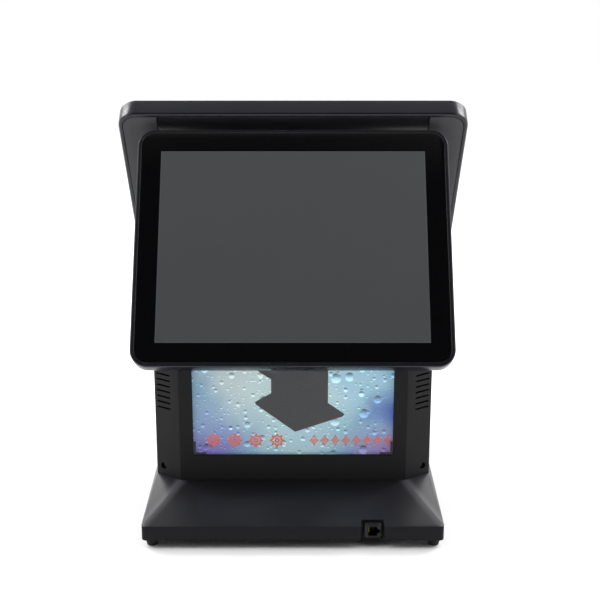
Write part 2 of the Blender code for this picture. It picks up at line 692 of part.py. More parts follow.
def build_electronics():
    board_middle = board_back - BOARD_DEPTH / 2
    box("mainboard", (BOARD_WIDTH, BOARD_DEPTH, BOARD_THICKNESS),
        (0, board_middle, board_bottom + BOARD_THICKNESS / 2), board_green, terminal)

    pitch = (SINK_SIZE - FIN_WIDTH) / (FIN_COUNT - 1)
    outline = [(-SINK_SIZE / 2, 0), (SINK_SIZE / 2, 0)]
    for fin in reversed(range(FIN_COUNT)):
        left = -SINK_SIZE / 2 + fin * pitch
        right = left + FIN_WIDTH
        if fin < FIN_COUNT - 1:
            outline.append((right, SINK_BASE))
        outline += [(right, SINK_HEIGHT), (left, SINK_HEIGHT)]
        if fin > 0:
            outline.append((left, SINK_BASE))
    sink_middle = board_back - PORT_LENGTH - SINK_TO_PORTS - SINK_SIZE / 2
    prism("heat_sink", outline, SINK_SIZE, "XZ", (SINK_X, sink_middle, board_top + GAP), aluminium, terminal)

    drive_z = chassis_top - CHASSIS_SHEET - GAP - DRIVE_HEIGHT / 2
    drive_x = -CHASSIS_WIDTH / 2 + DRIVE_INSET + DRIVE_WIDTH / 2
    drive_y = chassis_front + DRIVE_SETBACK + DRIVE_DEPTH / 2
    box("storage_drive", (DRIVE_WIDTH, DRIVE_DEPTH, DRIVE_HEIGHT), (drive_x, drive_y, drive_z), steel,
        terminal)
    outside = CHASSIS_WIDTH / 2 + CHASSIS_SHEET + GAP
    turned("speaker", (SPEAKER_MAGNET_RADIUS, SPEAKER_RADIUS), (SPEAKER_DEPTH / 2, SPEAKER_DEPTH / 2), "X",
           (outside, chassis_front + SPEAKER_RADIUS + SPEAKER_SETBACK, body_bottom + SPEAKER_RISE),
           black_steel, terminal)


def build_connectors():
    """Connectors on the board's rear edge, with the steel plate that they show through."""
    panel = box("io_plate", (PANEL_WIDTH - 2 * GAP, PANEL_SHEET, PANEL_HEIGHT - 2 * GAP),
                (0, port_back - PANEL_SHEET / 2, panel_middle), steel, terminal)
    floor = board_top + GAP
    middle = port_back - PORT_LENGTH / 2

    def socket(name, x, size):
        width, height = size
        body = box(name, (width, PORT_LENGTH, height), (x, middle, floor + height / 2), steel, terminal)
        hole = box(name + "_hole", (width + 2 * GAP, 4 * PANEL_SHEET, height + 2 * GAP),
                   (x, port_back, floor + height / 2), None, terminal)
        cut(panel, hole)
        return body

    lan = socket("lan_port", LAN_X, LAN_BODY)
    for name, (width, height), rise in (("lan_mouth", LAN_MOUTH, LAN_MOUTH_RISE),
                                        ("lan_latch", LAN_LATCH, LAN_LATCH_RISE)):
        cut(lan, box(name, (width, 2 * MOUTH_DEPTH, height), (LAN_X, port_back, floor + rise), None,
                     terminal))

    for label, x in zip(("left", "right"), USB_X):
        usb = socket("usb_port_" + label, x, USB_BODY)
        for rise in USB_RISES:
            mouth = prism("usb_mouth_" + label + str(rise), usb_mouth(), 2 * MOUTH_DEPTH, "XZ",
                          (x, port_back, floor + rise), None, terminal)
            cut(usb, mouth)

    inlet = socket("dc_inlet", INLET_X, INLET_BODY)
    place = (INLET_X, port_back, floor + INLET_RISE)
    bore = cylinder("inlet_bore", INLET_BORE_RADIUS, 2 * INLET_BORE_DEPTH, "Y", place, None, terminal)
    pin = cylinder("inlet_pin", INLET_PIN_RADIUS, 3 * INLET_BORE_DEPTH, "Y", place, None, terminal, 12)
    pin.location.y -= INLET_BORE_DEPTH
    cut(bore, pin)
    cut(inlet, bore)


def usb_mouth():
    """Opening of one socket with the contact tongue standing in it from above."""
    half_w, half_h = USB_MOUTH[0] / 2, USB_MOUTH[1] / 2
    tongue, root = USB_TONGUE[0] / 2, half_h - USB_TONGUE[1]
    return [(-half_w, -half_h), (half_w, -half_h), (half_w, half_h), (tongue, half_h),
            (tongue, root), (-tongue, root), (-tongue, half_h), (-half_w, half_h)]


def build_power_button():
    hub = empty("power_button_slide", (BUTTON_X, body_back, button_z), terminal)
    inner = BUTTON_LENGTH - BUTTON_PROUD
    stem = inner - BODY_WALL - BUTTON_FLANGE - GAP
    lengths = (stem, BUTTON_FLANGE, GAP + BODY_WALL + BUTTON_PROUD)
    button = turned("power_button", (BUTTON_STEM_RADIUS, BUTTON_RADIUS + BUTTON_FLANGE, BUTTON_RADIUS),
                    lengths, "Y", (0, -inner, 0), jack_black, hub)
    soften(button, BUTTON_EDGE, 1)
    switch_face = body_back - inner - BUTTON_TRAVEL - GAP
    box("power_switch", (SWITCH_SIZE, SWITCH_DEPTH, SWITCH_SIZE),
        (BUTTON_X, switch_face - SWITCH_DEPTH / 2, button_z), jack_black, terminal)


# ---- yoke ---------------------------------------------------------------------------

def arc_points(middle, radius, steps=24):
    return [(middle[0] + radius * cos(2 * pi * i / steps), middle[1] + radius * sin(2 * pi * i / steps))
            for i in range(steps)]


def arm_points(hinge, radius, low_front, low_back, level, x_low, x_high):
    """Corners of one arm of the yoke: a foot on the body's top and a round eye at a hinge."""
    flat = arc_points(hinge, radius) + [(low_front, level), (low_back, level)]
    return [(x, y, z) for y, z in flat for x in (x_low, x_high)]


def yoke_arms(name, eye, extra, level, x_low, x_high, surface):
    """The two arms of one side, joined to a V."""
    front = body_front + YOKE_FRONT - extra
    back = body_back - YOKE_REAR + extra
    middle = (front + back) / 2
    item = hull(name, arm_points(customer_hinge, eye, front, middle + ARM_LAP, level, x_low, x_high),
                surface, terminal)
    other = hull(name + "_rear_arm",
                 arm_points(main_hinge, eye, middle - ARM_LAP, back, level, x_low, x_high), None, terminal)
    join(item, other)
    return item


def build_yoke(rear_shell, front_shell, chassis, cable_hole):
    front = body_front + YOKE_FRONT
    back = body_back - YOKE_REAR
    bracket = box("neck_bracket", (2 * YOKE_HALF_WIDTH, back - front, YOKE_SHEET),
                  (0, (front + back) / 2, yoke_bottom + YOKE_SHEET / 2), black_steel, terminal)
    for side, label in ((-1, "left"), (1, "right")):
        low, high = sorted((side * YOKE_HALF_WIDTH, side * (YOKE_HALF_WIDTH - YOKE_SHEET)))
        cheek = yoke_arms("cheek_" + label, YOKE_EYE, 0, yoke_bottom, low, high, None)
        join(bracket, cheek)
    for hinge, label in ((customer_hinge, "customer"), (main_hinge, "main")):
        bore = cylinder("yoke_bore_" + label, SHAFT_RADIUS + GAP, 3 * YOKE_HALF_WIDTH, "X", (0, *hinge),
                        None, terminal)
        cut(bracket, bore)

    for side, label in ((-1, "left"), (1, "right")):
        low, high = sorted((side * (YOKE_HALF_WIDTH + GAP), side * (YOKE_HALF_WIDTH + COVER_WIDTH)))
        cover = yoke_arms("neck_cover_" + label, COVER_EYE, COVER_EYE - YOKE_EYE, yoke_bottom,
                          low, high, shell_black)
        for hinge, which in ((customer_hinge, "customer"), (main_hinge, "main")):
            pocket = cylinder("nut_pocket_" + which + label, NUT_RADIUS + NUT_POCKET_ROOM,
                              2 * NUT_POCKET_DEPTH, "X", (side * YOKE_HALF_WIDTH, *hinge), None, terminal)
            cut(cover, pocket)

    cut(bracket, cable_hole)
    cut(rear_shell, cable_hole)
    for place, label in ((front + NECK_SCREW_INSET, "front"), (back - NECK_SCREW_INSET, "rear")):
        for side, hand in ((-1, "left"), (1, "right")):
            spot = (side * NECK_SCREW_X, place, yoke_bottom + YOKE_SHEET + GAP)
            turned("neck_screw_" + label + "_" + hand, (NECK_SCREW_RADIUS, 2 * NECK_SCREW_RADIUS),
                   (NECK_SCREW_LENGTH, NECK_SCREW_HEAD), "Z", (spot[0], spot[1], spot[2] - NECK_SCREW_LENGTH),
                   steel, terminal, 16)
            hole = cylinder("neck_screw_hole_" + label + hand, NECK_SCREW_RADIUS + GAP, 2 * REACH, "Z", spot,
                            None, terminal, 16)
            cut(bracket, hole)
            cut(front_shell if place < split else rear_shell, hole)
            cut(chassis, hole)


# ---- displays -----------------------------------------------------------------------

def build_display(prefix, sizes, hub):
    """One display, seen from its glass side: the glass faces -Y of its own hinge empty."""
    width, height, thickness = sizes["width"], sizes["height"], sizes["thickness"]
    back = -sizes["hinge_setback"]
    front = back - thickness
    middle = height / 2 - sizes["hinge_height"]

    def slab(name, across, up, corner, near, far, surface, drop=0.0):
        return prism(prefix + name, rounded(across, up, corner), far - near, "XZ",
                     (0, (near + far) / 2, middle - drop), surface, hub)

    frame = slab("_frame", width, height, sizes["corner"], front, back, frame_black)
    soften(frame, FRAME_EDGE)
    rim = sizes["rim"]
    seat = front + sizes["glass"] + GAP
    web = seat + WEB_THICKNESS
    recess = sizes["recess"]
    sunk = recess[2] if recess else 0.0
    cover_front_face = back - REAR_COVER_THICKNESS - GAP
    ledge = cover_front_face - sunk
    lcd_width, lcd_height, lcd_depth = sizes["lcd"]
    lcd_depth = min(lcd_depth, ledge - seat - BOARD_THICKNESS - 2 * GAP)
    glass_seat = slab("_glass_seat", width - 2 * rim, height - 2 * rim, sizes["corner"] - rim,
                      front - REACH, seat, None)
    lcd_seat = slab("_lcd_seat", lcd_width + 2 * GAP, lcd_height + 2 * GAP, 0.001, front, back, None)
    hollow = slab("_hollow", width - 2 * LEDGE_WIDTH, height - 2 * LEDGE_WIDTH,
                  sizes["corner"] - LEDGE_WIDTH, web, back + REACH, None)
    rebate = slab("_rebate", width - 2 * REBATE_WIDTH, height - 2 * REBATE_WIDTH,
                  sizes["corner"] - REBATE_WIDTH, ledge, back + REACH, None)
    cut(frame, glass_seat, lcd_seat, hollow, rebate)

    play = 2 * GAP
    slab("_touch_glass", width - 2 * rim - play, height - 2 * rim - play, sizes["corner"] - rim - GAP,
         front, front + sizes["glass"], glass_black)
    box(prefix + "_lcd_panel", (lcd_width, lcd_depth, lcd_height),
        (0, seat + lcd_depth / 2, middle), lcd_grey, hub)
    board_front = seat + lcd_depth + GAP
    box(prefix + "_driver_board", (sizes["board"][0], BOARD_THICKNESS, sizes["board"][1]),
        (0, board_front + BOARD_THICKNESS / 2, middle), board_green, hub)

    cover_width = width - 2 * REBATE_WIDTH - play
    cover_height = height - 2 * REBATE_WIDTH - play
    cover_corner = sizes["corner"] - REBATE_WIDTH - GAP
    cover = slab("_rear_cover", cover_width, cover_height, cover_corner, ledge + GAP, back, rear_black)
    leaf_face = back
    if recess:
        plate_width, plate_height, depth = recess
        leaf_face = back - depth
        lift = (cover_height - plate_height) / 2
        opening = prism(prefix + "_recess", rounded(plate_width, plate_height + 2 * REACH, RECESS_CORNER),
                        2 * REACH, "XZ", (0, back, middle + lift + REACH), None, hub)
        cut(cover, opening)
        prism(prefix + "_service_plate", rounded(plate_width - play, plate_height - GAP, RECESS_CORNER - GAP),
              REAR_COVER_THICKNESS, "XZ",
              (0, leaf_face - REAR_COVER_THICKNESS / 2, middle + lift + GAP / 2), plate_black, hub)
    build_hinge(prefix, leaf_face, hub)


def build_hinge(prefix, leaf_face, hub):
    """Leaf on the display's back, its two ears, and the shaft with a nut at each end."""
    near = leaf_face + GAP
    leaf = box(prefix + "_hinge_leaf", (2 * ear_middle + EAR_SHEET, EAR_SHEET, 2 * LEAF_HALF_HEIGHT),
               (0, near + EAR_SHEET / 2, 0), black_steel, hub)
    for side, label in ((-1, "left"), (1, "right")):
        low = side * ear_middle - EAR_SHEET / 2
        high = low + EAR_SHEET
        flat = arc_points((0, 0), EAR_EYE) + [(near, -EAR_FOOT), (near, EAR_FOOT)]
        ear = hull(prefix + "_ear_" + label, [(x, y, z) for y, z in flat for x in (low, high)], None, hub)
        join(leaf, ear)
    bore = cylinder(prefix + "_leaf_bore", SHAFT_RADIUS + GAP, 3 * YOKE_HALF_WIDTH, "X", (0, 0, 0), None, hub)
    cut(leaf, bore)
    cylinder(prefix + "_hinge_shaft", SHAFT_RADIUS, 2 * shaft_half, "X", (0, 0, 0), steel, hub)
    for side, label in ((-1, "left"), (1, "right")):
        x = side * (YOKE_HALF_WIDTH + GAP + NUT_WIDTH / 2)
        nut = cylinder(prefix + "_hinge_nut_" + label, NUT_RADIUS, NUT_WIDTH, "X", (x, 0, 0), steel, hub, 6)
        bore = cylinder(prefix + "_nut_bore_" + label, SHAFT_RADIUS + GAP, 2 * NUT_WIDTH, "X", (x, 0, 0),
                        None, hub)
        cut(nut, bore)


# ---- assembly -----------------------------------------------------------------------

build_base()
build_drawer_jack()
front_shell = build_front_shell()
rear_shell = build_rear_shell()
build_light_box()
chassis, cable_hole = build_chassis()
build_electronics()
build_connectors()
build_power_button()
build_yoke(rear_shell, front_shell, chassis, cable_hole)

customer_hub = empty("customer_tilt", (0, *customer_hinge), terminal, (-radians(CUSTOMER["tilt"]), 0, 0))
build_display("customer", CUSTOMER, customer_hub)
main_hub = empty("main_tilt", (0, *main_hinge), terminal, (-main_tilt, 0, pi))
build_display("main", MAIN, main_hub)

bpy.context.view_layer.update()
shapes = [item.evaluated_get(bpy.context.evaluated_depsgraph_get()) for item in parts.objects
          if item.type == "MESH"]
depths = [(item.matrix_world @ vertex.co).y for item in shapes for vertex in item.data.vertices]
terminal.location.y = -(min(depths) + max(depths)) / 2
bpy.context.view_layer.update()
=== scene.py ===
import json
from math import atan2, cos, hypot, pi, radians, sin, tan

import bpy
import bmesh
from mathutils import Matrix, Vector


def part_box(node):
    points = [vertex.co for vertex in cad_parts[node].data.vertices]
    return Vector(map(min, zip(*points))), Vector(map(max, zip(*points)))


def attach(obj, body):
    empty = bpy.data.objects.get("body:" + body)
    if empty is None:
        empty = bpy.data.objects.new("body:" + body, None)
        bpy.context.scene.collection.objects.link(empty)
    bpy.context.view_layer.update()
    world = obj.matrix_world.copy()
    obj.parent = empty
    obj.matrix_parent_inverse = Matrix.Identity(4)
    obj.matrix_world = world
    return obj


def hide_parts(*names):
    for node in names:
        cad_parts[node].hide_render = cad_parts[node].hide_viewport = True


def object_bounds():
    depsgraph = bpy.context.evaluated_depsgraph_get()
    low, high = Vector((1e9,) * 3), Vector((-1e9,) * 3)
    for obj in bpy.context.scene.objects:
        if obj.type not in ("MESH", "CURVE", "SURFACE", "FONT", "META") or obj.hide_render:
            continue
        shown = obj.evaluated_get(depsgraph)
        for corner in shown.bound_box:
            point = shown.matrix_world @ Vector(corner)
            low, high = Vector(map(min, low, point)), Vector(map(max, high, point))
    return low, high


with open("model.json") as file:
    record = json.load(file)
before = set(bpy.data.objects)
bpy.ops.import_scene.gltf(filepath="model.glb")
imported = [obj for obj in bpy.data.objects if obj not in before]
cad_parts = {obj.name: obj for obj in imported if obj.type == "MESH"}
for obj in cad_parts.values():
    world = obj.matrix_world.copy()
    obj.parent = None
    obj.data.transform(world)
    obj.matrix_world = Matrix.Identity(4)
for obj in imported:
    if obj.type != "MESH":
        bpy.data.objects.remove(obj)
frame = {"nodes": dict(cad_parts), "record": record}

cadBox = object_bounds()
low, high = cadBox
millimetre = 0.001
print("frame loaded, from", [round(v, 4) for v in low], "to", [round(v, 4) for v in high])


# ---- camera, floor and light

cameraPlan = {
    "lens": 72, "sensor": 36,
    "pitchDown": 16.7,      # degrees below the horizon
    "height": 0.6485,       # above the floor
    "inFront": 1.199,       # of the base's front edge
    "aside": 0.008,
}
camera = bpy.data.objects.new("camera", bpy.data.cameras.new("camera"))
bpy.context.scene.collection.objects.link(camera)
camera.data.lens = cameraPlan["lens"]
camera.data.sensor_width = cameraPlan["sensor"]
camera.data.clip_start = 0.05
camera.data.clip_end = 200
camera.location = (cameraPlan["aside"], low.y - cameraPlan["inFront"], cameraPlan["height"])
camera.rotation_euler = (radians(90 - cameraPlan["pitchDown"]), 0, 0)
bpy.context.scene.camera = camera
bpy.context.scene.view_settings.view_transform = "Standard"


lightPlan = {       # each stands on both sides; place and aim are for the right one
    "softSun": {"kind": "SUN", "place": (2.1, 0.5, 3), "aim": (0, 0, 0), "energy": 1.5, "spread": 50},
    "strip": {"kind": "AREA", "place": (1.25, 1.15, 1.4), "aim": (0.1, 0, 0.3), "energy": 22,
              "size": (1.7, 1.1)},
    "edgeBar": {"kind": "AREA", "place": (1.25, 0.57, 1.18), "aim": (0.2, 0.05, 0.45), "energy": 5,
                "size": (0.12, 0.7)},
    "sideBox": {"kind": "AREA", "place": (1.5, -0.7, 1.0), "aim": (0, 0, 0.25), "energy": 9,
                "size": (0.35, 1.4)},
}


def addLights():
    for side in (-1, 1):
        for name, plan in lightPlan.items():
            light = bpy.data.objects.new(name, bpy.data.lights.new(name, plan["kind"]))
            bpy.context.scene.collection.objects.link(light)
            place, aim = (Vector((side * x, y, z)) for x, y, z in (plan["place"], plan["aim"]))
            light.location = place
            light.rotation_euler = (aim - place).to_track_quat("-Z", "Y").to_euler()
            light.data.energy = plan["energy"]
            if plan["kind"] == "SUN":
                light.data.angle = radians(plan["spread"])
                light.visible_glossy = False    # reflections come from the boxes and the sky
            else:
                light.data.shape = "RECTANGLE"
                light.data.size, light.data.size_y = plan["size"]


addLights()


def link(material, source, target):
    material.node_tree.links.new(source, target)


def addNode(material, kind, inputs=None, **settings):
    node = material.node_tree.nodes.new(kind)
    for key, value in settings.items():
        setattr(node, key, value)
    for key, value in (inputs or {}).items():
        if isinstance(value, bpy.types.NodeSocket):
            link(material, value, node.inputs[key])
        else:
            node.inputs[key].default_value = value
    return node


def fitted(material, value, low, high, start=0.0, end=1.0, **settings):
    # value between start and end brought to between low and high
    return addNode(material, "ShaderNodeMapRange", {"Value": value, "From Min": start, "From Max": end,
                   "To Min": low, "To Max": high}, **settings).outputs["Result"]


def maths(material, operation, *values):
    return addNode(material, "ShaderNodeMath", dict(enumerate(values)), operation=operation).outputs[0]


def vectors(material, operation, *values):
    result = "Value" if operation in ("DISTANCE", "DOT_PRODUCT") else "Vector"
    return addNode(material, "ShaderNodeVectorMath", dict(enumerate(values)),
                   operation=operation).outputs[result]


def scaled(material, colour, amount):
    return addNode(material, "ShaderNodeVectorMath", {0: colour, "Scale": amount},
                   operation="SCALE").outputs[0]


def mixed(material, factor, first, second):
    return addNode(material, "ShaderNodeMix", {"Factor": factor, 6: first, 7: second},
                   data_type="RGBA").outputs[2]


def noise(material, point, scale, detail, **inputs):
    return addNode(material, "ShaderNodeTexNoise", {"Vector": point, "Scale": scale, "Detail": detail,
                                                    **inputs}).outputs["Fac"]


def parted(material, vector):
    return addNode(material, "ShaderNodeSeparateXYZ", {0: vector}).outputs


worldPlan = {
    "tint": (0.97, 0.98, 1, 1), "backdrop": 1.04,
    # brightness, and the height where it starts to fall
    "sides": 0.95, "overhead": 0.50, "overheadFrom": 0.30,
    "front": 0.012, "frontEnds": -0.46, "backStarts": 0.05,     # dark in front, so that the glass stays black
}


def buildWorld():
    plan = worldPlan
    world = bpy.data.worlds.new("studio")
    bpy.context.scene.world = world
    world.use_nodes = True
    parts = parted(world, addNode(world, "ShaderNodeTexCoord").outputs["Generated"])
    above = fitted(world, parts["Z"], plan["sides"], plan["overhead"], plan["overheadFrom"],
                   interpolation_type="SMOOTHSTEP")
    behind = fitted(world, parts["Y"], plan["front"], 1.0, plan["frontEnds"], plan["backStarts"],
                    interpolation_type="SMOOTHSTEP")
    seen = addNode(world, "ShaderNodeLightPath").outputs["Is Camera Ray"]   # the backdrop itself stays pale
    level = fitted(world, seen, maths(world, "MULTIPLY", above, behind), plan["backdrop"])
    background = world.node_tree.nodes["Background"]
    background.inputs["Color"].default_value = plan["tint"]
    link(world, level, background.inputs["Strength"])


buildWorld()


def startMaterial(name, colour, roughness, metallic=0.0, **sockets):
    material = bpy.data.materials.new(name)
    material.use_nodes = True
    shader = material.node_tree.nodes["Principled BSDF"]
    shader.inputs["Base Color"].default_value = (*colour, 1)
    shader.inputs["Roughness"].default_value = roughness
    shader.inputs["Metallic"].default_value = metallic
    for key, value in sockets.items():
        shader.inputs[key].default_value = value
    return material, shader


floorPlan = {"reach": 60, "colour": (0.86, 0.86, 0.86), "roughness": 0.75}


def addFloor():
    mesh = bpy.data.meshes.new("floor")
    shape = bmesh.new()
    bmesh.ops.create_grid(shape, x_segments=1, y_segments=1, size=floorPlan["reach"])
    shape.to_mesh(mesh)
    shape.free()
    floor = bpy.data.objects.new("floor", mesh)
    bpy.context.scene.collection.objects.link(floor)
    mesh.materials.append(startMaterial("paleFloor", floorPlan["colour"], floorPlan["roughness"])[0])


addFloor()
print("camera, light and floor made")


# ---- materials

def objectPoint(material):
    return addNode(material, "ShaderNodeTexCoord").outputs["Object"]


noiseSpan = (0.3, 0.7)      # where nearly all of a noise pattern's values lie


def bumped(material, shader, height, strength, distance):
    bump = addNode(material, "ShaderNodeBump", {"Height": height, "Strength": strength,
                                                "Distance": distance * millimetre})
    link(material, bump.outputs["Normal"], shader.inputs["Normal"])


def mouldedPlastic(name, colour, roughness, grain=0.35, depth=0.02, mottle=0.12, spread=0.06, gloss=0.5,
                   fleck=0.15, patches=9.0):
    # spark-eroded texture: grain is its size and depth its height, both in millimetres
    material, shader = startMaterial(name, colour, roughness)
    shader.inputs["Specular IOR Level"].default_value = gloss
    point = objectPoint(material)
    fine = noise(material, point, 1 / (grain * millimetre), 3.0, Roughness=0.6)
    wide = noise(material, point, patches, 3.0)
    tone = maths(material, "MULTIPLY", fitted(material, wide, 1 - mottle, 1 + mottle, *noiseSpan),
                 fitted(material, fine, 1 - fleck, 1 + fleck, *noiseSpan))
    link(material, scaled(material, colour, tone), shader.inputs["Base Color"])
    dull = fitted(material, wide, roughness - spread, roughness + spread, *noiseSpan)
    link(material, dull, shader.inputs["Roughness"])
    bumped(material, shader, fine, 0.6, depth)
    return material


def drawnMetal(name, colour, roughness, streak=(1, 1, 30), depth=0.004, grain=120.0, tone=0.2, spread=0.3):
    # streak stretches the pattern along the axis with the smallest number
    material, shader = startMaterial(name, colour, roughness, 1.0)
    drawn = addNode(material, "ShaderNodeMapping", {"Vector": objectPoint(material), "Scale": streak})
    lines = noise(material, drawn.outputs["Vector"], grain, 4.0)
    paint = scaled(material, colour, fitted(material, lines, 1 - tone, 1 + tone))
    link(material, paint, shader.inputs["Base Color"])
    dull = fitted(material, lines, roughness * (1 - spread), roughness * (1 + spread))
    link(material, dull, shader.inputs["Roughness"])
    bumped(material, shader, lines, 0.4, depth)
    return material


shellPlastic = mouldedPlastic("shellPlastic", (0.0100, 0.0100, 0.0112), 0.50, gloss=0.14)
basePlastic = mouldedPlastic("basePlastic", (0.0085, 0.0085, 0.0100), 0.50, gloss=0.14)
slopePlastic = mouldedPlastic("slopePlastic", (0.0110, 0.0108, 0.0128), 0.36, depth=0.008, gloss=0.40)
framePlastic = mouldedPlastic("framePlastic", (0.009, 0.009, 0.013), 0.26, grain=0.6, depth=0.004,
                              spread=0.03, gloss=0.4)
rearPlastic = mouldedPlastic("rearPlastic", (0.026, 0.026, 0.030), 0.55, grain=0.5, depth=0.03)
glossPlastic = mouldedPlastic("glossPlastic", (0.004, 0.004, 0.006), 0.15, grain=4.0, depth=0.004,
                              spread=0.03)
platePlastic = mouldedPlastic("platePlastic", (0.007, 0.007, 0.010), 0.32, grain=0.8, depth=0.006,
                              spread=0.04)
socketPlastic = mouldedPlastic("socketPlastic", (0.022, 0.022, 0.024), 0.45, grain=0.2)
jackPlastic = mouldedPlastic("jackPlastic", (0.008, 0.008, 0.009), 0.42, grain=0.2, gloss=0.3)
footRubber = mouldedPlastic("footRubber", (0.012, 0.012, 0.012), 0.85, grain=0.3, depth=0.05)
blackCoat = mouldedPlastic("blackCoat", (0.014, 0.014, 0.015), 0.45, grain=0.15, depth=0.012)
platedSteel = drawnMetal("platedSteel", (0.55, 0.56, 0.58), 0.32)
extrudedAluminium = drawnMetal("extrudedAluminium", (0.62, 0.63, 0.64), 0.38, streak=(30, 1, 30))
zincPlate = drawnMetal("zincPlate", (0.16, 0.165, 0.17), 0.46, streak=(1, 30, 30))
whitePlastic = mouldedPlastic("whitePlastic", (0.80, 0.80, 0.78), 0.5, grain=0.4)


boardPlan = {"grid": 90.0, "track": 0.03, "tones": ((0.012, 0.085, 0.03, 1), (0.02, 0.11, 0.045, 1)),
             "copper": (0.03, 0.16, 0.07, 1)}


def circuitBoard():
    material, shader = startMaterial("circuitBoard", boardPlan["tones"][1][:3], 0.45)
    tracks = addNode(material, "ShaderNodeTexBrick", {
        "Vector": objectPoint(material), "Scale": boardPlan["grid"], "Mortar Size": boardPlan["track"],
        "Color1": boardPlan["tones"][0], "Color2": boardPlan["tones"][1], "Mortar": boardPlan["copper"]})
    link(material, tracks.outputs["Color"], shader.inputs["Base Color"])
    return material


boardGreen = circuitBoard()


acrylicPlan = {"colour": (0.03, 0.035, 0.04), "cover": 0.10, "clean": 0.03, "dusty": 0.10, "dust": 60.0}


def clearAcrylic():
    plan = acrylicPlan
    material, shader = startMaterial("clearAcrylic", plan["colour"], plan["clean"], Alpha=plan["cover"])
    dust = noise(material, objectPoint(material), plan["dust"], 5.0)
    link(material, fitted(material, dust, plan["clean"], plan["dusty"]), shader.inputs["Roughness"])
    return material


windowAcrylic = clearAcrylic()

slotFinish = {
    "shell_black": shellPlastic, "frame_black": framePlastic, "rear_black": rearPlastic,
    "plate_black": glossPlastic, "glass_black": glossPlastic, "lcd_grey": glossPlastic,
    "acrylic": windowAcrylic, "film_blue": whitePlastic, "white_plastic": whitePlastic,
    "jack_black": jackPlastic, "rubber_black": footRubber, "steel": platedSteel,
    "black_steel": blackCoat, "aluminium": extrudedAluminium, "board_green": boardGreen,
}
nodeSlot = {entry["node"]: entry["material_slot"] for entry in frame["record"]["subparts"]}
for node, item in frame["nodes"].items():
    item.data.materials.clear()
    item.data.materials.append(slotFinish[nodeSlot[node]])
print("materials made")


# ---- mesh tools

def toObject(name, shape, material, crease=32):
    bmesh.ops.recalc_face_normals(shape, faces=shape.faces)
    mesh = bpy.data.meshes.new(name)
    shape.to_mesh(mesh)
    shape.free()
    return dressed(bpy.data.objects.new(name, mesh), material, crease)


def dressed(item, material, crease=32):
    # crease is the angle past which an edge stays sharp
    if item.name not in bpy.context.scene.collection.objects:
        bpy.context.scene.collection.objects.link(item)
    mesh = item.data
    mesh.shade_smooth()
    mesh.set_sharp_from_angle(angle=radians(crease))
    mesh.materials.clear()
    if material:
        mesh.materials.append(material)
    return item


def settled(item, material=None, crease=32):
    # the live modifiers are baked into a plain mesh
    bpy.context.view_layer.update()
    shape = item.evaluated_get(bpy.context.evaluated_depsgraph_get())
    mesh = bpy.data.meshes.new_from_object(shape)
    mesh.transform(item.matrix_world)
    item.modifiers.clear()
    item.matrix_world = Matrix.Identity(4)
    item.data = mesh
    return dressed(item, material or (mesh.materials[0] if mesh.materials else None), crease)


def cutAway(item, *cutters, operation="DIFFERENCE", crease=32):
    for cutter in cutters:
        modifier = item.modifiers.new("cut", "BOOLEAN")
        modifier.operation = operation
        modifier.solver = "EXACT"
        modifier.object = cutter
    material = item.data.materials[0] if item.data.materials else None
    settled(item, material, crease)
    for cutter in cutters:
        bpy.data.objects.remove(cutter)
    return item


def edgeSoftened(item, width, segments=2, angle=35):
    modifier = item.modifiers.new("edge", "BEVEL")
    modifier.width = width
    modifier.segments = segments
    modifier.limit_method = "ANGLE"
    modifier.angle_limit = radians(angle)
    modifier.harden_normals = False
    return settled(item)


def loop(width, height, corner, steps=10):
    # a rounded rectangle round the origin, anticlockwise from the right lower corner
    corner = max(corner, 0.0002)
    points = []
    for quarter, (sideX, sideZ) in enumerate(((1, -1), (1, 1), (-1, 1), (-1, -1))):
        for step in range(steps + 1):
            angle = (quarter - 1) * pi / 2 + step * pi / 2 / steps
            points.append((sideX * (width / 2 - corner) + corner * cos(angle),
                           sideZ * (height / 2 - corner) + corner * sin(angle)))
    return points


def loft(name, rings, material, closed=False, crease=32):
    # rings of equal length joined in order; closed joins the last to the first, as round a frame
    shape = bmesh.new()
    rows = [[shape.verts.new(point) for point in ring] for ring in rings]
    pairs = list(zip(rows, rows[1:])) + ([(rows[-1], rows[0])] if closed else [])
    count = len(rows[0])
    for a, b in pairs:
        for i in range(count):
            j = (i + 1) % count
            shape.faces.new((a[i], a[j], b[j], b[i]))
    if not closed:
        shape.faces.new(rows[0])
        shape.faces.new(rows[-1])
    return toObject(name, shape, material, crease)


def quarterRound(radius, steps=4):
    # (inset, depth) pairs from a face's rim down to a wall
    return [(radius * (1 - cos(a)), radius * (1 - sin(a))) for a in
            [pi / 2 - i * pi / 2 / steps for i in range(steps + 1)]]


def slab(name, space, middle, size, corner, profile, material, closed=False, crease=32, steps=10):
    # profile holds (inset, depth) pairs; depth runs along the display's own y
    rings = []
    for inset, depth in profile:
        outline = loop(size[0] - 2 * inset, size[1] - 2 * inset, corner - inset, steps)
        rings.append([space @ Vector((middle[0] + x, depth, middle[1] + z)) for x, z in outline])
    return loft(name, rings, material, closed, crease)


def block(name, size, place, material=None, turn=0.0):
    shape = bmesh.new()
    matrix = Matrix.Translation(place) @ Matrix.Rotation(turn, 4, "Z") @ Matrix.Diagonal((*size, 1))
    bmesh.ops.create_cube(shape, size=1, matrix=matrix)
    return toObject(name, shape, material)


